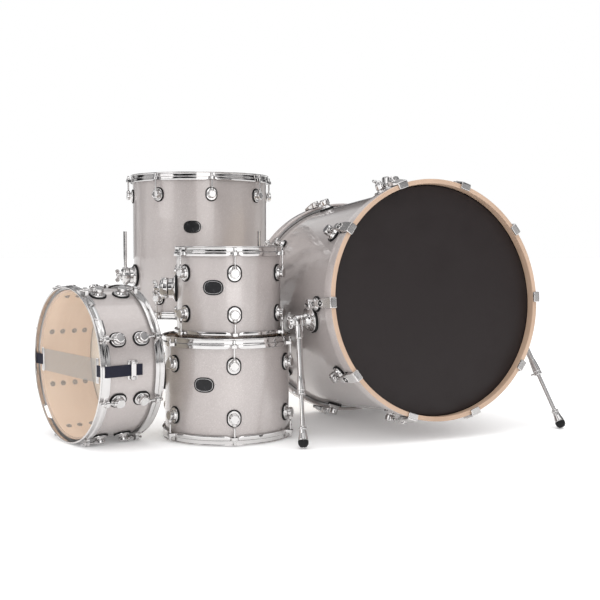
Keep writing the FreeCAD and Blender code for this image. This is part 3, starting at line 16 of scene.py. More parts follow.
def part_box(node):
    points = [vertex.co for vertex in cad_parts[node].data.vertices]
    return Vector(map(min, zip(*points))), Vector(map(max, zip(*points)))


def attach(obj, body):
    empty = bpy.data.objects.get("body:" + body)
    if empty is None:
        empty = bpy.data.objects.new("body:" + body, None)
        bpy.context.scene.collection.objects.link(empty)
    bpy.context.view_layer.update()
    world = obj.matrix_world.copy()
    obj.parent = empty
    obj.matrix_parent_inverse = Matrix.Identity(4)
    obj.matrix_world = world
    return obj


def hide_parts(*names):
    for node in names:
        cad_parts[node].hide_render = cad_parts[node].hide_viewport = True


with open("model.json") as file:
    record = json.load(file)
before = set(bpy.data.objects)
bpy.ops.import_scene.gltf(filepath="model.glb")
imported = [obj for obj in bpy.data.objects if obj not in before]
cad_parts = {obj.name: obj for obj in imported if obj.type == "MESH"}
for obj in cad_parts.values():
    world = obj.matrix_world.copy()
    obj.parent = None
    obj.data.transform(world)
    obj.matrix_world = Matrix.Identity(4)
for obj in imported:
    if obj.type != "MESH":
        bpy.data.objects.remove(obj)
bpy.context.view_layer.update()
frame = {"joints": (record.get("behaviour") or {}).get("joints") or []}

MM = 0.001

# ---------------------------------------------------------------- sizes, in millimetres
WALL = 6.5
FILM = 0.4
RIM_RISE = 11.0           # steel hoop's edge above the head
HOOP_IN = 3.2             # steel hoop beyond the shell: inside, band, bead, lip
HOOP_BAND = 5.6
HOOP_BEAD = 7.2
HOOP_LIP = 8.2
HOOP_STEP = 13.0
HOOP_TALL = 24.0
EAR_SEAT = 14.0
EAR_REACH = 21.0
EAR_HALF_WIDE = 9.0
ROD_REACH = 14.5          # tension rods of the steel-hooped drums, beyond the shell
ROD_RADIUS = 2.5
LUG_TALL = 19.5
BOSS_REACH = 17.0
GASKET = 3.4
CLAMP_GASKET = 34.0       # clamp brackets of the toms and of the floor tom's legs
CLAMP_BODY = 24.0
CLAMP_SPLIT = 21.0
CLAMP_TALL = 44.0
CLAMP_ROD = 31.0
BASS_OVERHANG = 22.4      # bass drum
BASS_HOOP_WIDE = 38.0
BASS_HOOP_IN = 1.6
BASS_HOOP_OUT = 13.1
BASS_ROD_REACH = 21.0
BASS_LUG_INSET = 98.0
BASS_LUG_TALL = 29.0
BASS_TURN = 25.5
BASS_TILT = 5.2
SNARE_TURN = -52.4
HOLDER_AT = 205.0
HOLDER_TOP = 48.0
SPUR_HUB_START = 25.5
SPUR_HUB_END = 49.0
LEG_KNEE_UP = 190.0
LEG_KNEE_DOWN = 130.0
LEG_KICK = 42.0
LEG_TOP = 508.0
BADGE_WIDE = 50.0
BADGE_TALL = 36.0


# ---------------------------------------------------------------- ways of drawing a shape
class Shape:
    """Points and faces; each face carries the number of its material."""

    def __init__(self):
        self.points = []
        self.faces = []
        self.kinds = []

    def add(self, other, place=None, kind=None):
        first = len(self.points)
        self.points += [place @ point for point in other.points] if place else other.points
        self.faces += [tuple(first + k for k in face) for face in other.faces]
        self.kinds += other.kinds if kind is None else [kind] * len(other.faces)
        return self

    def skin(self, rows, closed_along, closed_round):
        """Quads between rows of points."""
        first = len(self.points)
        wide = len(rows[0])
        for row in rows:
            self.points += row
        for r in range(len(rows) if closed_round else len(rows) - 1):
            here = first + r * wide
            there = first + ((r + 1) % len(rows)) * wide
            for k in range(wide if closed_along else wide - 1):
                step = (k + 1) % wide
                self.faces.append((here + k, here + step, there + step, there + k))
                self.kinds.append(0)
        return self

    def rod(self, rows):
        """A skin between rows that run round a rod, with a flat face at each end."""
        wide = len(rows[0])
        self.skin(rows, True, False)
        for first in (0, (len(rows) - 1) * wide):
            self.faces.append(tuple(range(first, first + wide)))
            self.kinds.append(0)
        return self


def joined(*shapes):
    whole = Shape()
    for shape in shapes:
        whole.add(shape)
    return whole


def rounded(corners, closed=True, bend=4):
    """An outline through corners (x, y, radius), with an arc of that radius at each."""
    points = []
    count = len(corners)
    for k, (x, y, radius) in enumerate(corners):
        here = Vector((x, y))
        if radius <= 0 or (not closed and k in (0, count - 1)):
            points.append((x, y))
            continue
        back = Vector(corners[k - 1][:2]) - here
        on = Vector(corners[(k + 1) % count][:2]) - here
        half = back.angle(on) / 2
        if half > 1.55:
            points += [(x, y)] * (bend + 1)
            continue
        cut = min(radius / math.tan(half), 0.48 * back.length, 0.48 * on.length)
        back.normalize()
        on.normalize()
        centre = here + (back + on).normalized() * (cut / math.cos(half))
        start = here + back * cut - centre
        end = here + on * cut - centre
        sweep = start.angle(end)
        for step in range(bend + 1):
            share = step / bend
            spoke = (start * math.sin((1 - share) * sweep) + end * math.sin(share * sweep))
            spot = centre + spoke / math.sin(sweep)
            points.append((spot.x, spot.y))
    return points


def lathe(outline, steps=40, kinds=None):
    """An outline of (radius, height) turned about z; radius 0 is a point on the axis."""
    shape = Shape()
    rings = []
    for radius, height in outline:
        count = 1 if radius < 1e-6 else steps
        rings.append(range(len(shape.points), len(shape.points) + count))
        for k in range(count):
            angle = 2 * math.pi * k / steps
            shape.points.append(Vector((radius * math.cos(angle), radius * math.sin(angle),
                                        height)))
    solid = len(rings[0]) == 1 and len(rings[-1]) == 1
    for r in range(len(rings) - 1 if solid else len(rings)):
        low, high = rings[r], rings[(r + 1) % len(rings)]
        if len(low) == 1 and len(high) == 1:
            continue
        for k in range(steps):
            corners = [low[k % len(low)], low[(k + 1) % len(low)],
                       high[(k + 1) % len(high)], high[k % len(high)]]
            shape.faces.append(tuple(dict.fromkeys(corners)))
            shape.kinds.append(kinds[r] if kinds else 0)
    return shape


def turned(corners, steps=40, bend=4, closed=False):
    """A solid turned about z from corners (radius, height, rounding)."""
    return lathe(rounded(corners, closed, bend), steps)


def inset(outline, depth):
    """The same outline, moved inwards; it runs anticlockwise."""
    inner = []
    count = len(outline)
    for k, (x, y) in enumerate(outline):
        ahead, behind = outline[(k + 1) % count], outline[k - 1]
        along = Vector((ahead[0] - behind[0], ahead[1] - behind[1]))
        if along.length < 1e-9:
            inner.append((x, y))
            continue
        along.normalize()
        inner.append((x - along.y * depth, y + along.x * depth))
    return inner


def plate(outline, layers):
    """A solid over an outline; layers are (height, inset) from its lower face to its upper."""
    shape = Shape()
    rows = [[Vector((x, y, height)) for x, y in inset(outline, depth)]
            for height, depth in layers]
    shape.skin(rows, True, False)
    wide = len(outline)
    for row, first in ((rows[0], 0), (rows[-1], (len(rows) - 1) * wide)):
        middle = sum(row, Vector()) / wide
        shape.points.append(middle)
        hub = len(shape.points) - 1
        for k in range(wide):
            shape.faces.append((first + k, first + (k + 1) % wide, hub))
            shape.kinds.append(0)
    return shape


def soft_plate(outline, low, high, edge):
    """A plate whose upper edge is rounded."""
    return plate(outline, [(low, 0), (high - edge, 0), (high - 0.6 * edge, 0.12 * edge),
                           (high - 0.25 * edge, 0.4 * edge), (high, edge),
                           (high, edge + 0.3)])


def band(outer, inner, low, high, edge=0.4):
    """A wall between two outlines that have as many points as each other."""
    rows = []
    tight = inset(outer, edge)
    for k, (x, y) in enumerate(outer):
        a, b = tight[k], inner[k]
        rows.append([Vector((x, y, low + edge)), Vector((x, y, high - edge)),
                     Vector((a[0], a[1], high)), Vector((b[0], b[1], high)),
                     Vector((b[0], b[1], low)), Vector((a[0], a[1], low))])
    return Shape().skin(rows, True, True)


def tube(path, radius, steps=16):
    """A round rod along a path, closed at both ends."""
    count = len(path)
    along = (path[1] - path[0]).normalized()
    side = along.orthogonal().normalized()
    rows = []
    for k, spot in enumerate(path):
        ahead = path[min(k + 1, count - 1)] - path[max(k - 1, 0)]
        ahead.normalize()
        side = (side - ahead * side.dot(ahead)).normalized()
        other = ahead.cross(side)
        rows.append([spot + (side * math.cos(a) + other * math.sin(a)) * radius
                     for a in (2 * math.pi * j / steps for j in range(steps))])
    return Shape().rod(rows)


def bent_path(corners, bend=6):
    """Corners (x, z, radius) of a rod that bends in its own x, z plane."""
    return [Vector((x, 0, z)) for x, z in rounded(corners, False, bend)]


def ribbon(line, half_wide, thick, rows_across=8):
    """A flat strap along a line of (x, z), from -half_wide to half_wide in y."""
    rows = []
    count = len(line)
    for k, (x, z) in enumerate(line):
        ahead, behind = line[min(k + 1, count - 1)], line[max(k - 1, 0)]
        along = Vector((ahead[0] - behind[0], ahead[1] - behind[1])).normalized()
        out = (-along.y * thick / 2, along.x * thick / 2)
        across = [half_wide * (2 * j / rows_across - 1) for j in range(rows_across + 1)]
        over = [Vector((x + out[0], y, z + out[1])) for y in across]
        under = [Vector((x - out[0], y, z - out[1])) for y in reversed(across)]
        rows.append(over + under)
    return Shape().rod(rows)


def circle(radius, steps=40):
    angles = [2 * math.pi * k / steps for k in range(steps)]
    return [(radius * math.cos(angle), radius * math.sin(angle)) for angle in angles]


def oval(half_wide, half_straight, steps=20):
    """Two half circles joined by straight sides along y."""
    points = []
    for k in range(2 * steps):
        angle = math.pi * k / steps
        lift = half_straight if angle < math.pi else -half_straight
        points.append((half_wide * math.cos(angle), half_wide * math.sin(angle) + lift))
    return points


def box_outline(left, right, low, high, radius, bend=4):
    return rounded([(left, low, radius), (right, low, radius),
                    (right, high, radius), (left, high, radius)], True, bend)


# ---------------------------------------------------------------- places
def axes(x, y, z, at=(0, 0, 0)):
    """The matrix whose columns are these directions."""
    return Matrix(((x[0], y[0], z[0], at[0]), (x[1], y[1], z[1], at[1]),
                   (x[2], y[2], z[2], at[2]), (0, 0, 0, 1)))


def moved(x=0.0, y=0.0, z=0.0):
    return Matrix.Translation((x, y, z))


def turn(angle, axis="Z"):
    return Matrix.Rotation(math.radians(angle), 4, axis)


def pointing(direction, at=(0, 0, 0), up=(0, 0, 1)):
    """A frame whose z runs along a direction, with y as near to up as it can be."""
    z = Vector(direction).normalized()
    y = (Vector(up) - z * z.dot(Vector(up))).normalized()
    return axes(y.cross(z), y, z, at)


def in_metres(place):
    smaller = place.copy()
    smaller.translation = place.translation * MM
    return smaller


class Drum:
    """One drum's sizes, its frame, and the places round it."""

    def __init__(self, label, radius, depth, lugs, first, inset_at, overhang, aim):
        self.label = label
        self.radius = radius
        self.lugs = lugs
        self.first = first
        self.inset = inset_at
        self.overhang = overhang
        self.length = depth + 2 * overhang
        low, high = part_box(label + "_shell")
        middle = (low + high) / 2 / MM
        self.place = Matrix.Translation(middle) @ aim @ moved(z=-self.length / 2)

    def ends(self):
        """The two hoops' frames: z runs from the rim's edge towards the middle."""
        return [turn(self.first), moved(z=self.length) @ turn(self.first) @ turn(180, "X")]

    def ring(self):
        """A frame at each tension rod of both hoops, with x out through the rod."""
        places = []
        for k in range(self.lugs):
            angle = self.first + 360 * k / self.lugs
            places.append(turn(angle))
            places.append(moved(z=self.length) @ turn(angle) @ turn(180, "X"))
        return places

    def on_side(self, angle, height):
        """A frame on the shell's outside: z out, y along the drum."""
        stand = axes((0, 1, 0), (0, 0, 1), (1, 0, 0), (self.radius, 0, height))
        return turn(angle) @ stand


def lying(angle, tilt):
    return turn(angle) @ turn(90 - tilt, "X")


BASS = Drum("bass", 279.4, 457.2, 10, 0.0, BASS_LUG_INSET, BASS_OVERHANG,
            lying(BASS_TURN, BASS_TILT))
SNARE = Drum("snare", 177.8, 139.7, 8, 22.5, 51.0, RIM_RISE, lying(SNARE_TURN, 0.0))
FLOOR = Drum("floor_tom", 203.2, 406.4, 8, 15.0, 64.0, RIM_RISE, Matrix())
TOM_12 = Drum("tom_12", 152.4, 228.6, 6, 40.0, 64.0, RIM_RISE, Matrix())
TOM_10 = Drum("tom_10", 127.0, 203.2, 6, 40.0, 64.0, RIM_RISE, Matrix())

# hardware on a drum's side, drawn with z out of the shell and y towards the nearer hoop, or
# with y away from that hoop
TO_HOOP = axes((0, -1, 0), (0, 0, -1), (1, 0, 0))
FROM_HOOP = axes((0, 1, 0), (0, 0, 1), (1, 0, 0))


# ---------------------------------------------------------------- materials
def new_material(name, colour, metallic=0.0, roughness=0.5, coat=0.0, coat_roughness=0.05):
    material = bpy.data.materials.new(name)
    material.use_nodes = True
    shader = material.node_tree.nodes["Principled BSDF"]
    shader.inputs["Base Color"].default_value = (*colour, 1)
    shader.inputs["Metallic"].default_value = metallic
    shader.inputs["Roughness"].default_value = roughness
    shader.inputs["Coat Weight"].default_value = coat
    shader.inputs["Coat Roughness"].default_value = coat_roughness
    return material, material.node_tree, shader


def add_node(tree, kind, **settings):
    node = tree.nodes.new(kind)
    for name, value in settings.items():
        if hasattr(node, name):
            setattr(node, name, value)
        else:
            node.inputs[name.replace("_", " ")].default_value = value
    return node


def object_space(tree, scale=(1, 1, 1)):
    """Coordinates of the piece's own frame, in metres, stretched by scale."""
    source = add_node(tree, "ShaderNodeTexCoord")
    stretch = add_node(tree, "ShaderNodeVectorMath", operation="MULTIPLY")
    stretch.inputs[1].default_value = scale
    tree.links.new(source.outputs["Object"], stretch.inputs[0])
    return stretch.outputs[0]


def noise(tree, where, scale, detail=3.0, roughness=0.5):
    texture = add_node(tree, "ShaderNodeTexNoise", Scale=scale, Detail=detail,
                       Roughness=roughness)
    tree.links.new(where, texture.inputs["Vector"])
    return texture.outputs["Fac"]


def ramp(tree, amount, stops):
    """Colours between stops (position, colour)."""
    node = add_node(tree, "ShaderNodeValToRGB")
    marks = node.color_ramp.elements
    while len(marks) < len(stops):
        marks.new(0.5)
    for mark, (position, colour) in zip(marks, stops):
        mark.position = position
        mark.color = (*colour, 1)
    tree.links.new(amount, node.inputs["Fac"])
    return node.outputs["Color"]


def between(tree, amount, low, high):
    """A number that goes from low to high as amount goes from 0.3 to 0.7."""
    node = add_node(tree, "ShaderNodeMapRange")
    node.inputs["From Min"].default_value = 0.3
    node.inputs["From Max"].default_value = 0.7
    node.inputs["To Min"].default_value = low
    node.inputs["To Max"].default_value = high
    tree.links.new(amount, node.inputs["Value"])
    return node.outputs["Result"]


def multiplied(tree, first, second):
    mix = add_node(tree, "ShaderNodeMix", data_type="RGBA", blend_type="MULTIPLY")
    mix.inputs["Factor"].default_value = 1.0
    tree.links.new(first, mix.inputs[6])
    tree.links.new(second, mix.inputs[7])
    return mix.outputs[2]


def bump(tree, shader, height, strength, distance, socket="Normal"):
    node = add_node(tree, "ShaderNodeBump", Strength=strength, Distance=distance)
    tree.links.new(height, node.inputs["Height"])
    tree.links.new(node.outputs["Normal"], shader.inputs[socket])


def worn(name, tones, stops, wear, rough, grain, metallic=0.0):
    """A surface whose colour and roughness vary with wear, over a fine grain.

    tones are the two colours at the stops; wear is a noise's scale, detail and roughness; rough is
    the least and the most roughness; grain is a scale, a strength and a depth in metres.
    """
    material, tree, shader = new_material(name, tones[1], metallic)
    where = object_space(tree)
    marks = noise(tree, where, *wear)
    tree.links.new(ramp(tree, marks, list(zip(stops, tones))), shader.inputs["Base Color"])
    tree.links.new(between(tree, marks, *rough), shader.inputs["Roughness"])
    bump(tree, shader, noise(tree, where, grain[0], 2.0), *grain[1:])
    return material, shader


def scaled(colour, share):
    return tuple(share * part for part in colour)


def chrome_like(name, colour, low, high, grain=900.0, ripple=0.03):
    """Polished metal, with faint wipe marks and a little waviness in the plating."""
    return worn(name, (scaled(colour, 0.93), colour), (0.3, 0.7), (55.0, 5.0, 0.65), (low, high),
                (grain, ripple, 0.0002), 1.0)[0]


def silver_sparkle(name, level):
    """Silver-grey lacquer with metal flakes under a clear gloss coat."""
    base = scaled((0.52, 0.473, 0.459), level)
    material, tree, shader = new_material(name, base, 0.35, 0.36, 1.0, 0.03)
    where = object_space(tree)
    flakes = add_node(tree, "ShaderNodeTexVoronoi", Scale=1500.0)
    tree.links.new(where, flakes.inputs["Vector"])
    grey = add_node(tree, "ShaderNodeSeparateColor")
    tree.links.new(flakes.outputs["Color"], grey.inputs["Color"])
    sparkle = ramp(tree, grey.outputs[0], [
        (0.0, scaled((0.45, 0.405, 0.395), level)), (0.5, base),
        (0.9, scaled((0.55, 0.505, 0.49), level)), (1.0, scaled((0.80, 0.76, 0.74), level))])
    cloud = ramp(tree, noise(tree, where, 7.0, 3.0), [(0.35, (0.94, 0.93, 0.93)),
                                                      (0.65, (1.0, 1.0, 1.0))])
    tree.links.new(multiplied(tree, sparkle, cloud), shader.inputs["Base Color"])
    tree.links.new(between(tree, grey.outputs[1], 0.30, 0.42), shader.inputs["Roughness"])
    bump(tree, shader, grey.outputs[2], 0.12, 0.0002)
    bump(tree, shader, noise(tree, where, 14.0, 2.0), 0.04, 0.002, "Coat Normal")
    return material


def maple(name, pale, dark, coat, across=900.0, along=5.0):
    """Maple whose grain runs round the drum."""
    material, tree, shader = new_material(name, pale, 0.0, 0.42, coat, 0.12)
    where = object_space(tree, (along, along, across))
    grain = noise(tree, where, 1.0, 6.0, 0.62)
    patches = noise(tree, object_space(tree, (9.0, 9.0, 26.0)), 1.0, 3.0)
    mix = add_node(tree, "ShaderNodeMath", operation="MULTIPLY_ADD")
    mix.inputs[1].default_value = 0.45
    tree.links.new(patches, mix.inputs[0])
    half = add_node(tree, "ShaderNodeMath", operation="MULTIPLY")
    half.inputs[1].default_value = 0.55
    tree.links.new(grain, half.inputs[0])
    tree.links.new(half.outputs[0], mix.inputs[2])
    tree.links.new(ramp(tree, mix.outputs[0], [(0.32, dark), (0.66, pale)]),
                   shader.inputs["Base Color"])
    tree.links.new(between(tree, grain, 0.36, 0.50), shader.inputs["Roughness"])
    bump(tree, shader, grain, 0.10, 0.0003)
    return material


def rubber_like(name, colour, roughness, grain, strength):
    """Dull black with dust on it."""
    material, shader = worn(name, (colour, scaled(colour, 1.9)), (0.35, 0.75), (60.0, 4.0),
                            (roughness - 0.06, roughness + 0.08), (grain, strength, 0.0003))
    shader.inputs["Specular IOR Level"].default_value = 0.25
    return material


def film(name, colour, roughness, alpha, grain, strength, shine=0.5):
    """Drum head film; alpha below 1 lets the inside of the drum show."""
    material, shader = worn(name, (scaled(colour, 0.95), colour), (0.3, 0.7), (22.0, 4.0),
                            (roughness * 0.85, roughness * 1.2), (grain, strength, 0.0002))
    shader.inputs["Alpha"].default_value = alpha
    shader.inputs["Specular IOR Level"].default_value = shine
    return material


def woven_strap():
    """Dark blue woven ribbon."""
    material, tree, shader = new_material("woven_strap", (0.004, 0.004, 0.012), 0.0, 0.8)
    where = object_space(tree)
    threads = add_node(tree, "ShaderNodeTexChecker", Scale=1400.0)
    threads.inputs["Color1"].default_value = (0.0025, 0.0025, 0.009, 1)
    threads.inputs["Color2"].default_value = (0.008, 0.009, 0.030, 1)
    tree.links.new(where, threads.inputs["Vector"])
    tree.links.new(threads.outputs["Color"], shader.inputs["Base Color"])
    bump(tree, shader, threads.outputs["Fac"], 0.4, 0.0003)
    return material


def wound_wire():
    """Bright steel wire wound in a tight coil; painted shade darkens the grooves between turns."""
    material, tree, shader = new_material("wound_wire", (0.62, 0.62, 0.61), 0.9, 0.3)
    where = object_space(tree, (1, 0.02, 0.02))
    coils = add_node(tree, "ShaderNodeTexWave", Scale=300.0)
    tree.links.new(where, coils.inputs["Vector"])
    # the colour darkens in the grooves between turns: painted shade
    tree.links.new(ramp(tree, coils.outputs["Fac"], [(0.0, (0.34, 0.34, 0.33)),
                                                     (1.0, (0.72, 0.72, 0.71))]),
                   shader.inputs["Base Color"])
    bump(tree, shader, coils.outputs["Fac"], 0.6, 0.0006)
    return material


CHROME = chrome_like("chrome", (0.66, 0.645, 0.64), 0.04, 0.11)
SATIN = chrome_like("satin_chrome", (0.74, 0.72, 0.71), 0.17, 0.26, 700.0, 0.05)
DULL_STEEL = chrome_like("dull_steel", (0.36, 0.33, 0.31), 0.36, 0.52, 500.0, 0.2)
ALUMINIUM = chrome_like("aluminium", (0.62, 0.62, 0.62), 0.26, 0.38, 700.0, 0.15)
LACQUER = silver_sparkle("silver_sparkle", 0.93)
# the hoops' lacquer is the shell's lacquer made lighter: painted sheen for the brighter reflection
# on the hoops' outer band
SHEEN_LIT_HOOP_LACQUER = silver_sparkle("hoop_sparkle_painted_sheen", 1.1)
MAPLE_EDGE = maple("maple_edge", (0.56, 0.40, 0.295), (0.44, 0.30, 0.21), 0.25)
MAPLE_INSIDE = maple("maple_inside", (0.86, 0.68, 0.53), (0.75, 0.56, 0.42), 0.0, 420.0)
RUBBER = rubber_like("rubber", (0.006, 0.006, 0.0065), 0.6, 1500.0, 0.25)
# near-black fill set behind gaps and at the bottom of holes and bores: painted shade
PAINTED_SHADE = rubber_like("painted_recess_shade", (0.004, 0.004, 0.004), 0.8, 900.0, 0.1)
BLACK_FILM = film("black_film", (0.0145, 0.0095, 0.0098), 0.5, 1.0, 1800.0, 0.10, 0.35)
CLEAR_FILM = film("clear_film", (0.86, 0.84, 0.80), 0.10, 0.08, 300.0, 0.02)
COATED_FILM = film("coated_film", (0.90, 0.85, 0.76), 0.62, 1.0, 2200.0, 0.35)
STRAP = woven_strap()
WIRE = wound_wire()
BADGE_BLACK = rubber_like("badge_black", (0.010, 0.010, 0.011), 0.22, 400.0, 0.02)


# ---------------------------------------------------------------- making a piece
SHARP_EDGE = 32.0         # degrees
WELD = 2e-6               # metres; points closer than this become one


def in_scene(name, data):
    item = bpy.data.objects.new(name, data)
    bpy.context.scene.collection.objects.link(item)
    return item


def make(name, shape, materials, place, body, replaced=()):
    """One piece from a shape in millimetres, riding on a CAD body."""
    data = bpy.data.meshes.new(name)
    data.from_pydata([point * MM for point in shape.points], [], shape.faces)
    for material in materials:
        data.materials.append(material)
    data.polygons.foreach_set("material_index", shape.kinds)
    work = bmesh.new()
    work.from_mesh(data)
    bmesh.ops.remove_doubles(work, verts=work.verts, dist=WELD)
    bmesh.ops.recalc_face_normals(work, faces=work.faces)
    work.to_mesh(data)
    work.free()
    data.shade_smooth()
    data.set_sharp_from_angle(angle=math.radians(SHARP_EDGE))
    piece = in_scene(name, data)
    piece.matrix_world = in_metres(place)
    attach(piece, body)
    if replaced:
        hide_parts(*replaced)


def chromed(name, shape, place, body, node):
    """A piece of plain chrome that replaces one CAD node."""
    make(name, shape, [CHROME], place, body, [node])


def copies(shape, places):
    whole = Shape()
    for place in places:
        whole.add(shape, place)
    return whole


# ---------------------------------------------------------------- shells and heads
def shell(drum):
    """Maple tube, lacquered outside, with bevelled bearing edges."""
    R = drum.radius
    low = drum.overhang + 0.6
    high = drum.length - low
    outline = [(R - WALL, low + 4.2), (R - 1.8, low), (R, low + 2.4),
               (R, high - 2.4), (R - 1.8, high), (R - WALL, high - 4.2)]
    return lathe(outline, 180, [2, 2, 0, 2, 2, 1])


def head(drum, ring_out):
    """Film with a rounded collar, clamped in its metal ring; the film lies at z = overhang."""
    R = drum.radius
    z = drum.overhang
    top = rounded([(0, z, 0), (R - 1.2, z, 1.4), (R + 0.9, z + 2.7, 1.0),
                   (R + ring_out, z + 2.7, 0.8), (R + ring_out, z + 10.1, 0.6),
                   (R + 1.0, z + 10.1, 0.4), (R + 1.0, z + 3.4, 0.3), (R - 1.4, z + FILM, 1.2),
                   (0, z + FILM, 0)], False, 3)
    return lathe(top, 160, [int(radius > R + 0.8) for radius, _ in top])


def interior_screws(drum, apart):
    """Washers and screw heads of the lugs, inside the shell."""
    washer = turned([(0, 0, 0), (6.6, 0, 0), (6.6, 1.3, 0.4), (4.2, 1.4, 0.2),
                     (4.2, 2.4, 0.3), (3.8, 3.6, 0.8), (1.6, 3.9, 0.2), (1.4, 2.9, 0.1),
                     (0, 2.9, 0)], 24, 2)
    inwards = axes((0, 1, 0), (0, 0, -1), (-1, 0, 0), (drum.radius - WALL, 0, 0))
    spots = []
    for place in drum.ring():
        for side in (-1, 1):
            spots.append(place @ moved(z=drum.inset + side * apart) @ inwards)
    return copies(washer, spots)


# ---------------------------------------------------------------- steel hoops
def hoop_section(R, lip):
    """Outline of a flanged hoop; lip is how far its lower edge hangs below the rim."""
    low = min(HOOP_STEP + 3.6, lip - 0.4)
    return rounded([
        (R + HOOP_IN, 0, 1.1), (R + HOOP_BEAD, 0, 1.3), (R + HOOP_BEAD, 2.9, 1.1),
        (R + HOOP_BAND, 3.8, 0.7), (R + HOOP_BAND, HOOP_STEP - 0.9, 0.9),
        (R + HOOP_LIP, HOOP_STEP + 1.2, 1.2), (R + HOOP_LIP, lip, 0.9),
        (R + 6.3, lip, 0.6), (R + 6.3, low, 0.8), (R + 3.9, HOOP_STEP + 0.8, 0.8),
        (R + HOOP_IN, HOOP_STEP - 1.2, 0.6)], True, 3)


def smooth_step(share):
    share = min(max(share, 0.0), 1.0)
    return math.sqrt(1 - (1 - share) ** 2)


def hoop_ear():
    """Shelf and skirt round one tension rod; x is out from the shell, the rim is at z = 0."""
    outline = rounded([(4.4, -EAR_HALF_WIDE - 3.0, 2.0), (ROD_REACH - 3.5, -EAR_HALF_WIDE, 4.0),
                       (EAR_REACH, -EAR_HALF_WIDE + 1.5, 6.0),
                       (EAR_REACH, EAR_HALF_WIDE - 1.5, 6.0),
                       (ROD_REACH - 3.5, EAR_HALF_WIDE, 4.0), (4.4, EAR_HALF_WIDE + 3.0, 2.0)],
                      True, 5)
    hole = []
    for x, y in outline:
        spoke = Vector((x - ROD_REACH, y)).normalized() * 3.3
        hole.append((ROD_REACH + spoke.x, spoke.y))
    shelf = band(outline, hole, EAR_SEAT, EAR_SEAT + 2.4, 0.5)
    skirt = band(outline, inset(outline, 1.9), EAR_SEAT + 1.2, EAR_SEAT + 7.6, 0.5)
    return joined(shelf, skirt)


def steel_hoop(drum, gates=()):
    """Flanged steel hoop: the lip rises round each ear, and is cut away at the snare gates."""
    R = drum.radius
    pitch = 2 * math.pi * R / drum.lugs
    near = [0, 4, 7, 8.5, 10, 11.5, 13.5, 16, 19, 23]
    far = [23 + (pitch / 2 - 23) * k / 8 for k in range(1, 9)]
    offsets = near + far
    angles = set()
    for k in range(drum.lugs):
        for offset in offsets:
            for side in (-1, 1):
                angle = 2 * math.pi * k / drum.lugs + side * offset / R
                angles.add(round(angle % (2 * math.pi), 6))
    rows = []
    for angle in sorted(angles):
        along = (angle * R + pitch / 2) % pitch - pitch / 2
        lip = HOOP_STEP + 2.6 + (HOOP_TALL - HOOP_STEP - 2.6) * smooth_step((abs(along) - 8) / 11)
        section = hoop_section(R, lip)
        for gate in gates:
            off = (math.degrees(angle) + drum.first - gate + 180) % 360 - 180
            if abs(math.radians(off) * R) < 20:
                section = [(r, z if z < 4 else 4 + 0.1 * (z - 4)) for r, z in section]
        rows.append([Vector((r * math.cos(angle), r * math.sin(angle), z)) for r, z in section])
    hoop = Shape().skin(rows, True, True)
    ear = hoop_ear()
    for k in range(drum.lugs):
        hoop.add(ear, turn(360 * k / drum.lugs) @ moved(x=R))
    return hoop


def tension_rod(drum):
    """Square key head, collar, washer and threaded shaft; z = 0 at the rim's edge."""
    end = drum.inset - BOSS_REACH + 9
    thread = []
    for k in range(14):
        z = end - 14 + k
        thread += [(ROD_RADIUS, z), (ROD_RADIUS - 0.35, z + 0.5)]
    top = rounded([(0, 9.4, 0), (4.7, 9.4, 0.8), (4.7, 12.5, 0.4), (6.1, 12.7, 0.4),
                   (6.1, 14.0, 0.3), (ROD_RADIUS, 14.0, 0)], False, 3)
    shaft = lathe(top + [(ROD_RADIUS, 15)] + thread + [(0, end)], 20)
    square = plate(box_outline(-2.8, 2.8, -2.8, 2.8, 0.7, 2),
                   [(10, 0), (4.2, 0), (3.3, 0.35), (2.9, 1.1)])
    return joined(shaft, square)


# ---------------------------------------------------------------- lugs
def tom_lug():
    """Oval foot, waisted barrel with a dished face, and the boss that takes the rod."""
    foot = soft_plate(oval(14.8, 3.5), 1.6, 5.4, 1.6)
    barrel = turned([
        (0, 4.0, 0), (13.2, 4.0, 0.6), (12.0, 6.4, 2.2), (10.4, 8.8, 1.6), (10.2, 10.4, 0.8),
        (11.6, 11.6, 0.9), (11.9, 13.0, 1.0), (11.7, LUG_TALL - 1.2, 1.6),
        (9.6, LUG_TALL, 0.8), (8.6, LUG_TALL - 0.4, 0.5), (0, LUG_TALL - 0.15, 0)], 44, 5)
    boss = turned([(0, 6, 0), (4.9, 6, 0), (4.9, BOSS_REACH - 1.0, 0.8),
                   (3.9, BOSS_REACH, 0.3), (2.9, BOSS_REACH, 0.2),
                   (2.7, BOSS_REACH - 5, 0.2), (0, BOSS_REACH - 5, 0)], 28, 3)
    throat = turned([(2.5, BOSS_REACH - 4, 0), (5.9, 9.4, 0.4), (6.4, 10.4, 0.5),
                     (6.4, 11.6, 0.5), (5.2, 12.4, 0.3), (2.5, 12.4, 0)], 28, 3)
    sideways = moved(z=ROD_REACH) @ turn(-90, "X")
    return joined(foot, barrel).add(boss, sideways).add(throat, sideways)


def bass_lug():
    """Round foot, barrel with a grooved end, and the boss towards the hoop."""
    barrel = turned([
        (0, 2.2, 0), (16.4, 2.2, 0.8), (15.8, 5.4, 1.8), (12.6, 8.6, 2.4), (11.2, 11.5, 1.6),
        (11.4, 13.2, 0.8), (13.0, 14.6, 1.0), (13.0, 25.6, 1.0), (12.2, 26.8, 0.6),
        (12.0, BASS_LUG_TALL - 1.4, 1.6), (9.6, BASS_LUG_TALL, 0.8),
        (8.8, BASS_LUG_TALL - 0.5, 0.4), (0, BASS_LUG_TALL - 0.2, 0)], 48, 5)
    boss = turned([(0, 6, 0), (6.2, 6, 0), (6.2, 16.5, 1.0), (5.2, 18.8, 0.6),
                   (3.6, 18.8, 0.2), (3.4, 12, 0.2), (0, 12, 0)], 32, 3)
    return joined(barrel).add(boss, moved(z=BASS_ROD_REACH) @ turn(-90, "X"))


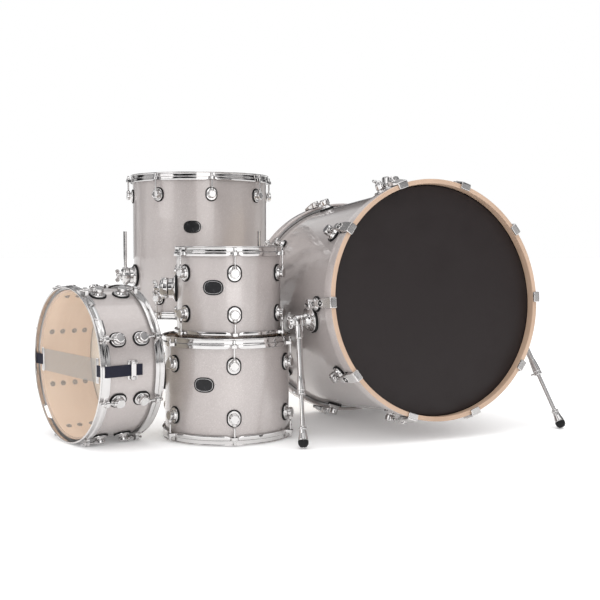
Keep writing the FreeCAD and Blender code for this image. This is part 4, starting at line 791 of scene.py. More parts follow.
def wrapped(shape, R):
    """A flat shape, drawn with z out, bent round a drum of this radius."""
    bent = Shape().add(shape)
    points = []
    for point in shape.points:
        angle = point.x / R
        reach = R + point.z
        points.append(Vector((reach * math.sin(angle), point.y, reach * math.cos(angle) - R)))
    bent.points = points
    return bent


def gasket(drum, outline, thick):
    """Rubber pad with a rolled edge that lies on the shell."""
    pad = plate(outline, [(-0.2, 0.3), (0.2, 0.0), (thick - 0.9, 0.0), (thick - 0.3, 0.25),
                          (thick, 0.9), (thick, 4.0)])
    return wrapped(pad, drum.radius)


# ---------------------------------------------------------------- clamp brackets and wing nuts
def clamp_bracket():
    """Stepped chrome foot, split round clamp and its cap; y runs along the clamped rod."""
    foot = turned([
        (0, 2.5, 0), (31.0, 2.5, 1.0), (31.0, 6.8, 1.6), (27.6, 8.8, 1.6), (26.4, 11.0, 1.2),
        (24.6, 11.6, 0.8), (CLAMP_BODY, CLAMP_SPLIT - 0.2, 0.9), (22.4, CLAMP_SPLIT, 0.4),
        (0, CLAMP_SPLIT, 0)], 72)
    # near-black core seen through the split between foot and cap: painted shade
    split_shade_core = lathe([(0, 18), (17.5, 18), (17.5, 25), (0, 25)], 48)
    cap = turned([
        (0, CLAMP_SPLIT + 1.6, 0), (23.4, CLAMP_SPLIT + 1.6, 0.4), (24.4, CLAMP_SPLIT + 3, 1.2),
        (24.4, 33.5, 1.4), (22.8, 36.2, 1.4), (22.6, 38.6, 0.8), (20.0, 41.6, 2.4),
        (15.6, CLAMP_TALL, 1.2), (12.4, CLAMP_TALL, 0.4), (11.8, CLAMP_TALL - 0.8, 0.3),
        (0, CLAMP_TALL - 0.8, 0)], 72)
    collar = turned([(5.1, 20.5, 0.2), (8.6, 20.5, 0.8), (8.6, 25.6, 1.0),
                     (5.1, 25.6, 0.2)], 32, 3, True)
    shape = joined(foot, cap).add(split_shade_core, None, 1)
    for side in (-1, 1):
        shape.add(collar, moved(z=CLAMP_ROD) @ turn(90 * side, "X"))
    return shape


def two_lobes(lower, apart, height, steps, bend=4):
    """Round dished lobes on both sides of a wing; lower is the half outline, from the axis."""
    upper = [(radius, -z, rounding) for radius, z, rounding in reversed(lower)]
    lobe = turned(lower + upper, steps, bend)
    places = [moved(x=side * apart, z=height) @ turn(90, "X") for side in (-1, 1)]
    return copies(lobe, places)


def wing_web(half_low, half_high, low, high, half_thick, half_flat):
    """The plate that joins a wing's two lobes, narrower at its upper edge."""
    outline = rounded([(-half_low, low, 2), (half_low, low, 2), (half_high, high, 2),
                       (-half_high, high, 2)], True, 3)
    return plate(outline, [(-half_thick, 0.6), (-half_flat, 0), (half_flat, 0),
                           (half_thick, 0.6)])


def wing_nut():
    """Hub with two round lobes, each dished on both faces; z runs out from the shell."""
    face = CLAMP_TALL + 0.4
    hub = turned([
        (0, face - 5, 0), (3.2, face - 5, 0.2), (3.2, face, 0.2), (7.4, face, 0.6),
        (7.6, face + 3.0, 0.8), (6.6, face + 5.0, 0.8), (6.2, face + 13.0, 2.4),
        (3.0, face + 15.0, 1.4), (0, face + 15.2, 0)], 36)
    lobe = [(0, -1.6, 0), (3.6, -1.7, 1.0), (5.4, -3.0, 1.2), (6.9, -2.0, 1.8)]
    web = wing_web(13, 11, face + 5, face + 12.5, 2.2, 1.6)
    return joined(hub).add(web, turn(90, "X")).add(two_lobes(lobe, 13.0, face + 11.0, 32))


def badge(drum):
    """Plain oval badge with a raised rim and a rivet at each end."""
    outline = [(0.5 * BADGE_WIDE * math.copysign(abs(math.cos(a)) ** 0.8, math.cos(a)),
                0.5 * BADGE_TALL * math.copysign(abs(math.sin(a)) ** 0.8, math.sin(a)))
               for a in (2 * math.pi * k / 64 for k in range(64))]
    rim = band(outline, inset(outline, 1.3), 0.0, 1.3, 0.3)
    field = plate(inset(outline, 1.2), [(0.0, 0), (0.8, 0), (0.9, 0.8), (0.9, 6)])
    line = band(inset(outline, 3.2), inset(outline, 3.9), 0.6, 1.1, 0.1)
    rivet = turned([(0, 0, 0), (1.9, 0, 0), (1.8, 1.0, 0.7), (0, 1.6, 0)], 16)
    shape = Shape().add(field, None, 0).add(rim, None, 0).add(line, None, 1)
    for side in (-1, 1):
        shape.add(rivet, moved(x=side * (BADGE_WIDE / 2 + 2.6)), 1)
    return wrapped(shape, drum.radius)


# ---------------------------------------------------------------- the four steel-hooped drums
def dress(drum, gasket_spots, screw_gap=11.0, heads=(CLEAR_FILM, CLEAR_FILM)):
    """Every piece that toms, floor tom and snare drum have in common."""
    label = drum.label
    make(label + "_maple_shell", shell(drum), [LACQUER, MAPLE_INSIDE, MAPLE_EDGE], drum.place,
         label, [label + "_shell"])
    film_and_ring = head(drum, 4.6)
    first, second = drum.ends()
    both = Shape().add(film_and_ring, first)
    upper = Shape().add(film_and_ring, second)
    upper.kinds = [kind + 2 for kind in upper.kinds]
    make(label + "_head_pair", both.add(upper), [heads[0], ALUMINIUM, heads[1], ALUMINIUM],
         drum.place, label, [label + "_heads"])
    plain = steel_hoop(drum)
    far_hoop = steel_hoop(drum, (0, 180)) if drum is SNARE else plain
    chromed(label + "_flanged_hoops", Shape().add(plain, first).add(far_hoop, second), drum.place,
            label, label + "_hoops")
    ring = drum.ring()
    at_lugs = [place @ moved(x=drum.radius, z=drum.inset) @ TO_HOOP for place in ring]
    chromed(label + "_tube_lugs", copies(tom_lug(), at_lugs), drum.place, label, label + "_lugs")
    rod = tension_rod(drum)
    at_rods = [place @ moved(x=drum.radius + ROD_REACH) for place in ring]
    chromed(label + "_key_rods", copies(rod, at_rods), drum.place, label, label + "_tension_rods")
    pads = copies(gasket(drum, oval(17.4, 3.6), GASKET), at_lugs)
    for spot in gasket_spots:
        pads.add(gasket(drum, circle(CLAMP_GASKET, 56), 5.2), spot)
    make(label + "_rubber_pads", pads, [RUBBER], drum.place, label, [label + "_gaskets"])
    make(label + "_inside_screws", interior_screws(drum, screw_gap), [DULL_STEEL], drum.place,
         label, ())


TOM_CLAMPS = {TOM_10: TOM_10.on_side(180, 122), TOM_12: TOM_12.on_side(180, 146)}
BADGES = {TOM_10: (-103.0, 128.0), TOM_12: (-106.6, 142.0), FLOOR: (-90.6, 270.0)}
LEGS = {"front_left": 203.0, "front_right": 323.0, "back": 83.0}
LEG_CLAMP_HEIGHT = 126.0

for drum, spot in TOM_CLAMPS.items():
    dress(drum, [spot])
    make(drum.label + "_arm_clamp", clamp_bracket(), [CHROME, PAINTED_SHADE], drum.place @ spot,
         drum.label, [drum.label + "_bracket"])
    chromed(drum.label + "_clamp_wing", wing_nut(), drum.place @ spot @ turn(90),
            drum.label + "_wing", drum.label + "_wing_nut")

leg_spots = {side: FLOOR.on_side(angle, LEG_CLAMP_HEIGHT) for side, angle in LEGS.items()}
dress(FLOOR, list(leg_spots.values()))
make("floor_tom_leg_clamps", copies(clamp_bracket(), leg_spots.values()), [CHROME, PAINTED_SHADE],
     FLOOR.place, "floor_tom", ["floor_tom_leg_brackets"])
for drum, (angle, height) in BADGES.items():
    make(drum.label + "_badge", badge(drum), [BADGE_BLACK, CHROME],
         drum.place @ drum.on_side(angle, height), drum.label, ())


# ---------------------------------------------------------------- floor tom legs
def floor_leg():
    """Bent rod with a knurled stretch in the clamp, and a ribbed rubber foot; z = 0 on the floor."""
    rod = tube(bent_path([(0, LEG_TOP, 0), (0, LEG_KNEE_UP, 60), (LEG_KICK, LEG_KNEE_DOWN, 60),
                          (LEG_KICK, 20, 0)], 8), 4.95, 24)
    tip = turned([(0, -0.4, 0), (4.2, -0.4, 0.8), (4.95, 0.8, 0.3), (4.9, 3, 0),
                  (0, 3, 0)], 24, 3)
    outline = [(0, 0, 0), (10.0, 0, 1.6), (11.9, 2.4, 1.2)]
    for k in range(4):
        z = 6 + 4.4 * k
        outline += [(11.9, z, 0.5), (10.9, z + 1.0, 0.3), (10.9, z + 1.8, 0.3),
                    (11.9, z + 2.8, 0.5)]
    outline += [(11.4, 25, 1.5), (8.0, 38, 2.0), (7.0, 44, 1.2), (5.0, 44, 0.2), (5.0, 38, 0),
                (0, 38, 0)]
    foot = turned(outline, 36, 3)
    return joined(rod).add(tip, moved(z=LEG_TOP - 2.6)).add(foot, moved(x=LEG_KICK), 1)


for side, angle in LEGS.items():
    stand = FLOOR.place.copy()
    stand.translation.z = 0
    outwards = stand @ turn(angle) @ moved(x=FLOOR.radius + CLAMP_ROD)
    make("floor_tom_rod_" + side, floor_leg(), [CHROME, RUBBER], outwards, "leg_" + side,
         ["floor_tom_leg_" + side])
    chromed("floor_tom_wing_" + side, wing_nut(), FLOOR.place @ leg_spots[side] @ turn(90),
            "bolt_" + side, "floor_tom_bolt_" + side)


# ---------------------------------------------------------------- snare drum
dress(SNARE, [], 14.0, (COATED_FILM, CLEAR_FILM))
WIRE_HALF = 27.0
WIRE_LEVEL = SNARE.length - RIM_RISE + 1.6
WIRE_SPAN = 0.8 * SNARE.radius


def snare_wires():
    """Twenty wound wires between two folded end plates."""
    shape = Shape()
    for k in range(20):
        y = (k - 9.5) * 2 * WIRE_HALF / 20
        path = [Vector((x * WIRE_SPAN, y, WIRE_LEVEL)) for x in (-1, -0.33, 0.33, 1)]
        shape.add(tube(path, 0.85, 8))
    end = plate(box_outline(-7, 7, -29, 29, 2.0),
                [(-0.9, 0.3), (-0.6, 0), (0.6, 0), (0.9, 0.3)])
    rib = plate(box_outline(-1.2, 1.2, -27, 27, 1.0), [(0.6, 0), (1.5, 0.2), (1.8, 0.7)])
    for side in (-1, 1):
        place = moved(x=side * (WIRE_SPAN + 6.9), z=WIRE_LEVEL)
        shape.add(joined(end).add(rib, moved(x=-3)).add(rib, moved(x=3)), place, 1)
    return shape


def strap_line(reach_back):
    """The strap's path in x, z: off the end plate, over the edge and down the shell."""
    R = SNARE.radius
    top = WIRE_LEVEL + 0.3
    return rounded([(WIRE_SPAN + 4, top + 1.0, 0), (WIRE_SPAN + 16, top + 1.2, 4),
                    (R + 3.0, top + 1.6, 3), (R + 8.9, top - 5.5, 4), (R + 8.9, top - 14, 6),
                    (R + 4.6, reach_back + 34, 20), (R + 4.2, reach_back, 0)], False, 5)


def butt_plate():
    """Clamp bar over the strap with two screws; z out of the shell, y along the drum."""
    base = wrapped(soft_plate(box_outline(-22, 22, -13, 13, 4), 0.0, 3.6, 1.2), SNARE.radius)
    bar = soft_plate(box_outline(-23, 23, -6.5, 6.5, 4), 4.6, 9.6, 1.8)
    post = lathe(rounded([(0, 2, 0), (4.6, 2, 0), (4.6, 5, 0)], False, 3) + [(0, 5)], 24)
    screw = turned([(0, 9, 0), (4.4, 9, 0), (4.4, 11.6, 1.2), (1.9, 12.6, 0.3),
                    (1.7, 11.4, 0.1), (0, 11.4, 0)], 28, 3)
    shape = joined(base, bar)
    for side in (-1, 1):
        shape.add(post, moved(x=side * 17.5))
        shape.add(screw, moved(x=side * 17.5))
    return shape


def strainer_body():
    """Throw-off housing with its hinge cheeks and the tension screw's post."""
    body = soft_plate(box_outline(-15, 15, -30, 30, 5), -0.3, 15.6, 3.2)
    panel = soft_plate(box_outline(-10.5, 10.5, -20, 24, 4), 15.0, 16.0, 0.6)
    cheek = soft_plate(rounded([(0.5, -30, 1), (14, -30, 5), (29, -26, 7), (29, -14, 7),
                                (14, -12, 5), (0.5, -12, 1)], True, 4), -2, 2, 0.8)
    stand = axes((0, 0, 1), (0, 1, 0), (-1, 0, 0))
    post = turned([(2.7, -4, 0.2), (5.6, -4, 0), (5.6, 6.5, 0.8), (4.8, 8.6, 0.6),
                   (2.7, 8.6, 0.2)], 28, 3, True)
    shape = joined(body, panel)
    for side in (-11, 11):
        shape.add(cheek, moved(x=side) @ stand)
    return shape.add(post, moved(y=30, z=10) @ turn(-90, "X"))


def strainer_lever():
    """Curved paddle on the hinge; z out of the shell, y along the drum."""
    hub = turned([(2.5, -8.4, 0.3), (6.0, -8.4, 1.2), (6.0, 8.4, 1.2), (2.5, 8.4, 0.3)],
                 32, 3, True)
    paddle = soft_plate(rounded([(-6.2, 0, 2), (6.2, 0, 2), (6.8, 28, 10), (9.0, 46, 8),
                                 (8.6, 59, 8), (-8.6, 59, 8), (-9.0, 46, 8), (-6.8, 28, 10)],
                                True, 5), 23.2, 27.6, 1.4)
    grip = soft_plate(rounded([(-5.4, 40, 3), (5.4, 40, 3), (5.4, 55, 3), (-5.4, 55, 3)], True,
                              4), 27.4, 28.6, 0.8)
    low = moved(y=-30)
    return (Shape().add(hub, moved(y=-21, z=24) @ turn(90, "Y")).add(paddle, low @ moved(y=10))
            .add(grip, low @ moved(y=10), 1))


def knurled(radius, low, high, ribs):
    """A grip with ribs round it."""
    points = []
    for k in range(4 * ribs):
        size = radius if k % 4 in (0, 1) else radius - 0.7
        angle = 2 * math.pi * k / (4 * ribs)
        points.append((size * math.cos(angle), size * math.sin(angle)))
    return plate(points, [(low, 0.8), (low + 0.8, 0), (high - 1.2, 0), (high, 1.4)])


def strainer_knob():
    grip = knurled(9.0, 0, 10.4, 22)
    cap = turned([(0, 9.6, 0), (6.0, 9.6, 0), (5.4, 10.9, 0.8), (0, 11.2, 0)], 28)
    screw = lathe([(0, -20), (2.45, -20), (2.45, 1), (0, 1)], 20)
    return joined(grip, cap, screw)


middle = SNARE.length / 2
near_side = SNARE.on_side(0, middle)
far_side = SNARE.on_side(180, middle)
make("snare_wire_set", snare_wires(), [WIRE, CHROME], SNARE.place, "snare", ["snare_wires"])
straps = Shape().add(ribbon(strap_line(middle - 24), 13.0, 0.9))
straps.add(ribbon(strap_line(middle + 26), 13.0, 0.9), turn(180))
make("snare_straps", straps, [STRAP], SNARE.place, "snare", ())
chromed("snare_butt_clamp", butt_plate(), SNARE.place @ near_side, "snare", "snare_butt_plate")
chromed("snare_throw_off", strainer_body(), SNARE.place @ far_side, "snare", "snare_strainer")
make("snare_throw_lever", strainer_lever(), [CHROME, RUBBER], SNARE.place @ far_side,
     "strainer_lever", ["snare_strainer_lever"])
chromed("snare_tension_knob", strainer_knob(),
        SNARE.place @ far_side @ moved(y=39.5, z=10) @ turn(-90, "X"), "strainer_knob",
        "snare_strainer_knob")


# ---------------------------------------------------------------- bass drum
def bass_hoop():
    """Maple hoop: the outside wears the shell's finish lit up as painted sheen; edge and inside
    clear.
    """
    R = BASS.radius
    corners = [(R + BASS_HOOP_IN, 0, 2.2), (R + BASS_HOOP_OUT, 0, 2.6),
               (R + BASS_HOOP_OUT, BASS_HOOP_WIDE, 2.2), (R + 7.2, BASS_HOOP_WIDE, 0.5),
               (R + 7.2, BASS_OVERHANG + 1.4, 0.4), (R + BASS_HOOP_IN, BASS_OVERHANG - 0.6, 0.4)]
    outline = rounded(corners, True, 5)
    # faces that take the lighter hoop lacquer; its extra lightness is painted sheen
    lacquered = [(radius > R + BASS_HOOP_OUT - 0.9 and z > 1.2) or z > BASS_HOOP_WIDE - 0.6
                 for radius, z in outline]
    return lathe(outline, 200, [int(outside) for outside in lacquered])


def claw():
    """Claw hook: sloping plate that narrows to a round nose, lip over the hoop, screw recess."""
    seat = BASS_HOOP_OUT + 1.6
    rise = 0.22
    outline = rounded([(-13, -5.2, 2.4), (13, -5.2, 2.4), (13, 20, 9), (9.0, 36, 9),
                       (8.4, 52, 8.2), (-8.4, 52, 8.2), (-9.0, 36, 9), (-13, 20, 9)], True, 6)
    top = soft_plate(outline, seat, seat + 3.6, 1.3)
    for point in top.points:
        share = (point.z - seat) / 3.6
        point.z += (point.y + 5.2) * rise * share
    lip = soft_plate(box_outline(-13, 13, 1.4, seat + 2.2, 2.6), 1.6, 5.2, 1.2)
    ring = turned([
        (0, -0.6, 0), (8.8, -0.6, 0), (8.6, 1.0, 0.5), (7.8, 1.5, 0.5), (7.2, 1.0, 0.3),
        (6.9, -0.2, 0.2), (0, -0.2, 0)], 36, 3)
    # black disc at the bottom of the screw recess: painted shade
    hole = turned([(0, -0.3, 0), (6.8, -0.3, 0), (6.8, 0.15, 0.1), (0, 0.2, 0)], 32, 2)
    screw = turned([(0, 0, 0), (2.9, 0, 0), (2.8, 1.0, 0.6), (1.2, 1.4, 0.2),
                    (1.0, 0.9, 0.1), (0, 0.9, 0)], 24, 3)
    nose = turned([(3.4, 0, 0.2), (6.6, 0, 0.8), (7.2, 6, 2.0), (6.2, 12, 1.6),
                   (3.4, 12, 0.2)], 32, 4, True)
    tilt = moved(y=31, z=seat + 3.6 + 36.2 * rise) @ turn(math.degrees(math.atan(rise)), "X")
    shape = joined(top).add(lip, turn(90, "X"))
    shape.add(ring, tilt).add(hole, tilt, 1).add(screw, tilt)
    return shape.add(nose, moved(y=40.5, z=BASS_ROD_REACH) @ turn(-90, "X"))


def bass_rod():
    """Rod between a claw and its lug, with a hexagon collar; y runs away from the hoop."""
    rod = turned([(0, 44, 0), (2.9, 44, 0.2), (2.9, 88, 0.2), (0, 88, 0)], 24, 2)
    collar = plate(circle(5.2, 6), [(53.2, 0.4), (53.8, 0), (57.6, 0), (58.2, 0.4)])
    return joined(rod, collar)


def claw_pad():
    """Rubber strip between a claw and the hoop."""
    flat = plate(box_outline(-12.4, 12.4, -1.4, 37.5, 2), [(13.2, 0), (14.2, 0), (14.7, 0.4)])
    fold = plate(box_outline(-12.4, 12.4, 2.2, 14.4, 2), [(0.05, 0), (1.2, 0), (1.6, 0.4)])
    return joined(flat).add(fold, turn(90, "X"))


def tom_holder():
    """Curved foot, round receiver with its bore and split in painted shade, clamp ears and two
    bolts.
    """
    foot = wrapped(soft_plate(box_outline(-29, 29, -40, 40, 9, 6), 3.4, 11.5, 3.0), BASS.radius)
    step = wrapped(soft_plate(box_outline(-25, 25, -30, 30, 8, 6), 9.0, 16.5, 2.4), BASS.radius)
    tower = turned([
        (11.2, 13, 0.2), (23.0, 13, 0), (22.4, 18, 1.4), (20.8, 20.5, 1.2), (20.8, 24, 0.8),
        (22.0, 25.4, 0.8), (22.0, 44.5, 1.4), (20.6, HOLDER_TOP - 0.2, 1.4),
        (13.2, HOLDER_TOP - 0.2, 0.9), (11.2, 46.0, 0.8)], 64, 4, True)
    ear = soft_plate(box_outline(-6.5, 6.5, 14, 45, 4), 0, 20.5, 1.6)
    bolt = turned([(0, 0, 0), (5.2, 0, 0), (5.2, 4.0, 0.8), (3.4, 4.6, 0.3),
                   (3.0, 2.6, 0.2), (0, 2.6, 0)], 30, 3)
    # black disc at the bottom of the bore and black strip in the split: painted shade
    bore = lathe([(0, 14), (11.0, 14), (11.0, 15), (0, 15)], 40)
    slit_shade = plate(box_outline(-1.0, 1.0, 18, 47.6, 0.3, 2), [(20.4, 0), (22.35, 0)])
    shape = joined(foot, step, tower)
    forwards = axes((1, 0, 0), (0, 0, 1), (0, -1, 0))
    backwards = axes((-1, 0, 0), (0, 0, 1), (0, 1, 0))
    for side in (-1, 1):
        shape.add(ear, moved(x=side * 8.6) @ backwards)
        shape.add(bolt, moved(x=side * 14, y=18, z=24 + 6 * side) @ backwards)
    shape.add(slit_shade, forwards, 1)
    return shape.add(bore, None, 1)


def holder_pad():
    pad = soft_plate(box_outline(-31, 31, -42, 42, 10, 6), 0.1, 3.8, 1.2)
    return wrapped(pad, BASS.radius)


def holder_screw():
    """Wing screw of the tom holder, drawn along z from the clamp's face."""
    hub = turned([
        (0, -11, 0), (3.3, -11, 0.4), (3.3, 0.4, 0.2), (7.2, 0.6, 0.6), (7.4, 4, 0.8),
        (6.4, 6, 0.8), (5.6, 13, 2.2), (0, 15, 0)], 36)
    lobe = [(0, -1.6, 0), (3.4, -1.7, 1.0), (5.2, -2.9, 1.2), (6.8, -1.8, 1.6)]
    web = wing_web(15, 13, 5, 12, 2.0, 1.5)
    return joined(hub).add(web, turn(90, "X")).add(two_lobes(lobe, 14.8, 9, 30))


make("bass_maple_shell", shell(BASS), [LACQUER, MAPLE_INSIDE, MAPLE_EDGE], BASS.place,
     "bass_drum", ["bass_shell"])
bass_film = head(BASS, 6.0)
REAR, FRONT = BASS.ends()
make("bass_played_head", Shape().add(bass_film, REAR), [COATED_FILM, ALUMINIUM], BASS.place,
     "bass_drum", ["bass_rear_head"])
make("bass_black_head", Shape().add(bass_film, FRONT), [BLACK_FILM, BLACK_FILM], BASS.place,
     "bass_drum", ["bass_front_head"])
wood_hoop = bass_hoop()
make("bass_played_hoop", Shape().add(wood_hoop, REAR), [MAPLE_EDGE, SHEEN_LIT_HOOP_LACQUER], BASS.place,
     "bass_drum", ["bass_rear_hoop"])
make("bass_maple_hoop", Shape().add(wood_hoop, FRONT), [MAPLE_EDGE, SHEEN_LIT_HOOP_LACQUER], BASS.place,
     "bass_drum", ["bass_front_hoop"])
bass_ring = BASS.ring()
over_hoop = [place @ moved(x=BASS.radius) @ FROM_HOOP for place in bass_ring]
at_bass_lugs = [place @ moved(x=BASS.radius, z=BASS_LUG_INSET) @ TO_HOOP for place in bass_ring]
make("bass_claw_hooks", copies(claw(), over_hoop), [SATIN, PAINTED_SHADE], BASS.place, "bass_drum",
     ["bass_claws"])
chromed("bass_round_lugs", copies(bass_lug(), at_bass_lugs), BASS.place, "bass_drum", "bass_lugs")
chromed("bass_claw_rods",
        copies(Shape().add(bass_rod(), turn(-90, "X")),
               [place @ moved(z=BASS_ROD_REACH) for place in over_hoop]),
        BASS.place, "bass_drum", "bass_tension_rods")
make("bass_inside_screws", interior_screws(BASS, 10.0), [DULL_STEEL], BASS.place, "bass_drum",
     ())

HOLDER_SPOT = BASS.on_side(90, BASS.length - HOLDER_AT)


def joint(name):
    return next(item for item in frame["joints"] if item["name"] == name)


def joint_place(name, up):
    """A joint's frame in millimetres: z along its axis."""
    found = joint(name)
    return pointing(found["axis"], Vector(found["pos_m"]) / MM, up)


DRUM_FORWARD = BASS.place.to_3x3() @ Vector((0, 0, 1))
pivots = {side: joint_place("spur_%s_wing_turn" % side, DRUM_FORWARD)
          for side in ("left", "right")}
bass_pads = copies(gasket(BASS, circle(19.0, 40), 5.0), at_bass_lugs)
bass_pads.add(copies(claw_pad(), over_hoop))
bass_pads.add(holder_pad(), HOLDER_SPOT)
for pivot in pivots.values():
    bass_pads.add(gasket(BASS, circle(34.0, 64), 5.2), BASS.place.inverted() @ pivot)
make("bass_rubber_pads", bass_pads, [RUBBER], BASS.place, "bass_drum", ["bass_gaskets"])
make("bass_tom_receiver", tom_holder(), [CHROME, PAINTED_SHADE], BASS.place @ HOLDER_SPOT, "bass_drum",
     ["tom_holder"])
chromed("bass_receiver_wing", holder_screw(),
        joint_place("tom_holder_screw_turn", DRUM_FORWARD) @ turn(62), "holder_screw",
        "tom_holder_wing_screw")


# ---------------------------------------------------------------- spurs
def spur_disc():
    """Dished disc and tapering boss of a spur bracket; z points out of the shell."""
    return turned([
        (0, 2.5, 0), (31.6, 2.5, 1.0), (31.6, 7.0, 1.6), (28.8, 8.6, 1.0), (27.4, 7.6, 0.8),
        (24.5, 9.4, 3.0), (18.0, 12.4, 3.5), (15.4, 16.5, 3.0), (14.0, 22.0, 1.0),
        (14.0, SPUR_HUB_START - 0.5, 0.6), (0, SPUR_HUB_START - 0.5, 0)], 72, 5)


def spur_hub():
    """Grooved hub on the pivot pin."""
    return turned([
        (5.1, SPUR_HUB_START, 0.2), (14.2, SPUR_HUB_START, 0.8), (15.4, 27.4, 0.8),
        (15.4, 32.4, 0.6), (14.2, 33.2, 0.4), (14.2, 34.4, 0.4), (15.4, 35.2, 0.6),
        (15.4, 44.6, 1.2), (13.6, 47.4, 0.8), (13.2, SPUR_HUB_END, 0.8),
        (5.1, SPUR_HUB_END, 0.2)], 56, 4, True)


def spur_leg():
    """Sleeve, tube, and the flared collar at its end; z runs down the leg."""
    return turned([
        (0, 3, 0), (10.3, 3, 1.0), (10.0, 30, 1.0), (9.4, 44.4, 1.2), (8.0, 46.0, 0.5),
        (7.2, 46.4, 0.3), (7.2, 137.6, 0.3), (8.0, 138.0, 0.4), (9.2, 150, 6.0),
        (10.4, 166, 1.4), (10.6, 171, 0.6), (9.8, 172, 0.3), (9.8, 173, 0.3), (10.5, 174, 0.5),
        (10.5, 180.4, 0.9), (9.0, 181.8, 0.6), (5.2, 181.8, 0.3), (5.2, 170, 0.2), (0, 170, 0)], 44)


def spur_wing():
    """T-shaped wing bolt: washer, dimpled hub and two rounded arms."""
    face = SPUR_HUB_END + 0.4
    hub = turned([
        (0, face - 4, 0), (3.3, face - 4, 0.2), (3.3, face, 0.2), (12.4, face, 0.6),
        (12.4, face + 2.4, 0.8), (8.8, face + 3.0, 0.8), (8.0, face + 6.0, 1.5),
        (7.6, face + 12.0, 2.6), (0, face + 14.0, 0)], 40)
    lobe = [(0, -1.8, 0), (2.8, -2.0, 0.8), (4.6, -3.0, 1.0), (6.0, -1.8, 1.5)]
    return joined(hub, two_lobes(lobe, 10.0, face + 9.4, 28))


def collar_bolt():
    """Small wing bolt on the spur's collar; z runs out from the leg's axis."""
    hub = turned([
        (0, 8, 0), (2.3, 8, 0.2), (2.3, 11, 0.2), (5.2, 11.0, 0.4), (5.3, 14, 0.6),
        (4.4, 16, 0.6), (4.0, 19.4, 1.6), (0, 20.2, 0)], 28, 3)
    lobe = [(0, -1.5, 0), (2.4, -1.6, 0.6), (4.0, -2.4, 0.8), (5.0, -1.4, 1.2)]
    return joined(hub, two_lobes(lobe, 8.2, 16.2, 24, 3))


def spur_rod(reach):
    """Rod, flange, flared chrome foot, rubber ball and spike; z runs down to the tip."""
    flange = reach - 50
    chrome = turned([
        (0, 110, 0), (4.95, 110, 0.4), (4.95, flange - 3, 0.2), (6.4, flange - 2.6, 0.5),
        (6.8, flange, 0.3), (9.6, flange, 0.6), (9.6, flange + 4, 0.8), (8.2, flange + 5.2, 0.5),
        (9.0, flange + 14, 6), (12.0, flange + 27.5, 0.8), (12.3, flange + 29.5, 0.6),
        (11.0, flange + 30.4, 0.4), (0, flange + 30.4, 0)], 44)
    ball = turned([
        (0, flange + 29.5, 0), (12.0, flange + 30.0, 0.6), (12.4, flange + 33.5, 2.0),
        (11.6, flange + 40, 4.0), (8.0, flange + 45, 3.0), (3.4, flange + 46.6, 0.6),
        (0, flange + 46.6, 0)], 44, 5)
    spike = turned([(0, flange + 45, 0), (2.3, flange + 45, 0), (2.2, flange + 47.2, 0.3),
                    (0.3, reach - 0.3, 0.1), (0, reach - 0.2, 0)], 20, 2)
    return joined(chrome, spike).add(ball, None, 1)


chromed("bass_spur_discs",
        copies(spur_disc(), [BASS.place.inverted() @ pivot for pivot in pivots.values()]),
        BASS.place, "bass_drum", "spur_brackets")
for side, pivot in pivots.items():
    root = Vector(joint("spur_%s_fold" % side)["pos_m"]) / MM
    leg = pointing(joint("spur_%s_extend" % side)["axis"], root, DRUM_FORWARD)
    reach = root.z / -leg.col[2].z
    stand = Matrix.Translation(root)
    back = stand.inverted()
    arm = Shape().add(spur_hub(), back @ pivot).add(spur_leg(), back @ leg)
    chromed("spur_%s_hinged_arm" % side, arm, stand, "spur_" + side, "spur_%s_arm" % side)
    make("spur_%s_foot_rod" % side, Shape().add(spur_rod(reach), back @ leg),
         [CHROME, RUBBER], stand, "spur_%s_rod" % side, ["spur_%s_rod" % side])
    chromed("spur_%s_pivot_wing" % side, spur_wing(), pivot @ turn(8), "spur_%s_wing" % side,
            "spur_%s_wing_bolt" % side)
    chromed("spur_%s_collar_wing" % side, collar_bolt(),
            joint_place("spur_%s_collar_turn" % side, leg.col[2].xyz), "spur_%s_collar" % side,
            "spur_%s_collar_bolt" % side)


# ---------------------------------------------------------------- floor, light and camera
def studio_world():
    """White all round, but with soft dark patches where metal and lacquer mirror it."""
    world = bpy.data.worlds.new("studio_world")
    world.use_nodes = True
    bpy.context.scene.world = world
    tree = world.node_tree
    where = add_node(tree, "ShaderNodeTexCoord").outputs["Generated"]
    patches = ramp(tree, noise(tree, where, 2.6, 1.5, 0.4), [
        (0.43, (0.03, 0.03, 0.032)), (0.50, (0.32, 0.32, 0.33)), (0.62, (0.95, 0.95, 0.95))])
    split = add_node(tree, "ShaderNodeSeparateXYZ")
    tree.links.new(where, split.inputs[0])
    rise = ramp(tree, split.outputs["Z"], [
        (0.0, (0.50, 0.50, 0.50)), (0.15, (0.72, 0.72, 0.72)), (0.7, (1.0, 1.0, 1.0))])
    seen = add_node(tree, "ShaderNodeMix", data_type="RGBA")
    tree.links.new(add_node(tree, "ShaderNodeLightPath").outputs["Is Glossy Ray"],
                   seen.inputs["Factor"])
    seen.inputs[6].default_value = (1, 1, 1, 1)
    tree.links.new(multiplied(tree, patches, rise), seen.inputs[7])
    tree.links.new(seen.outputs[2], tree.nodes["Background"].inputs["Color"])
    tree.nodes["Background"].inputs["Strength"].default_value = 1.0


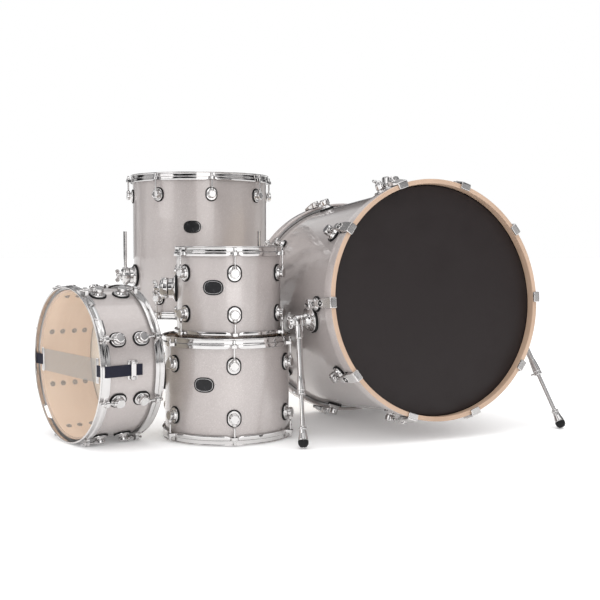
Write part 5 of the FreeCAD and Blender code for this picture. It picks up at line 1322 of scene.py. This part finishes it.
FLOOR_WIDE = 60.0         # metres
FLOOR_BELOW = 0.0005
SOFT_LIGHTS = {           # place and width in metres, power in watts
    "overhead": ((0.3, -0.6, 3.4), 3.2, 30.0),
    "left": ((-3.2, -2.0, 1.6), 2.0, 18.0),
    "front": ((0.9, -4.2, 0.9), 2.4, 26.0),
}
KIT_MIDDLE = Vector((0, 0, 0.3))
SKY_STRENGTH = 0.45
SKY_ANGLE = 120.0
EYE = (-0.0067, -2.78578, 0.468)
EYE_DOWN = 0.055          # radians
LENS = 60.0


def studio():
    """Pale floor, soft lights above, to the left and in front, and light from the whole sky."""
    bpy.ops.mesh.primitive_plane_add(size=FLOOR_WIDE, location=(0, 0, -FLOOR_BELOW))
    floor = bpy.context.object
    floor.name = "studio_floor"
    material, tree, shader = new_material("floor_paint", (0.96, 0.96, 0.96), 0.0, 0.8)
    tint = ramp(tree, noise(tree, object_space(tree), 0.8, 2.0),
                [(0.3, (0.955, 0.955, 0.955)), (0.7, (0.965, 0.965, 0.965))])
    tree.links.new(tint, shader.inputs["Base Color"])
    shader.inputs["Emission Color"].default_value = (1, 1, 1, 1)
    shader.inputs["Emission Strength"].default_value = 0.12
    floor.data.materials.append(material)
    studio_world()
    for name, (at, wide, power) in SOFT_LIGHTS.items():
        lamp = bpy.data.lights.new(name, "AREA")
        lamp.shape = "SQUARE"
        lamp.size = wide
        lamp.energy = power
        in_scene(name, lamp).matrix_world = pointing(Vector(at) - KIT_MIDDLE, at)
    sky = bpy.data.lights.new("sky", "SUN")
    sky.energy = SKY_STRENGTH
    sky.angle = math.radians(SKY_ANGLE)
    in_scene("sky", sky)


def camera():
    data = bpy.data.cameras.new("camera")
    data.lens = LENS
    data.sensor_width = 36.0
    data.clip_start = 0.05
    data.clip_end = 100.0
    item = in_scene("camera", data)
    item.location = EYE
    item.rotation_euler = (math.pi / 2 - EYE_DOWN, 0, 0)
    bpy.context.scene.camera = item


studio()
camera()
bpy.context.scene.view_settings.view_transform = "Standard"
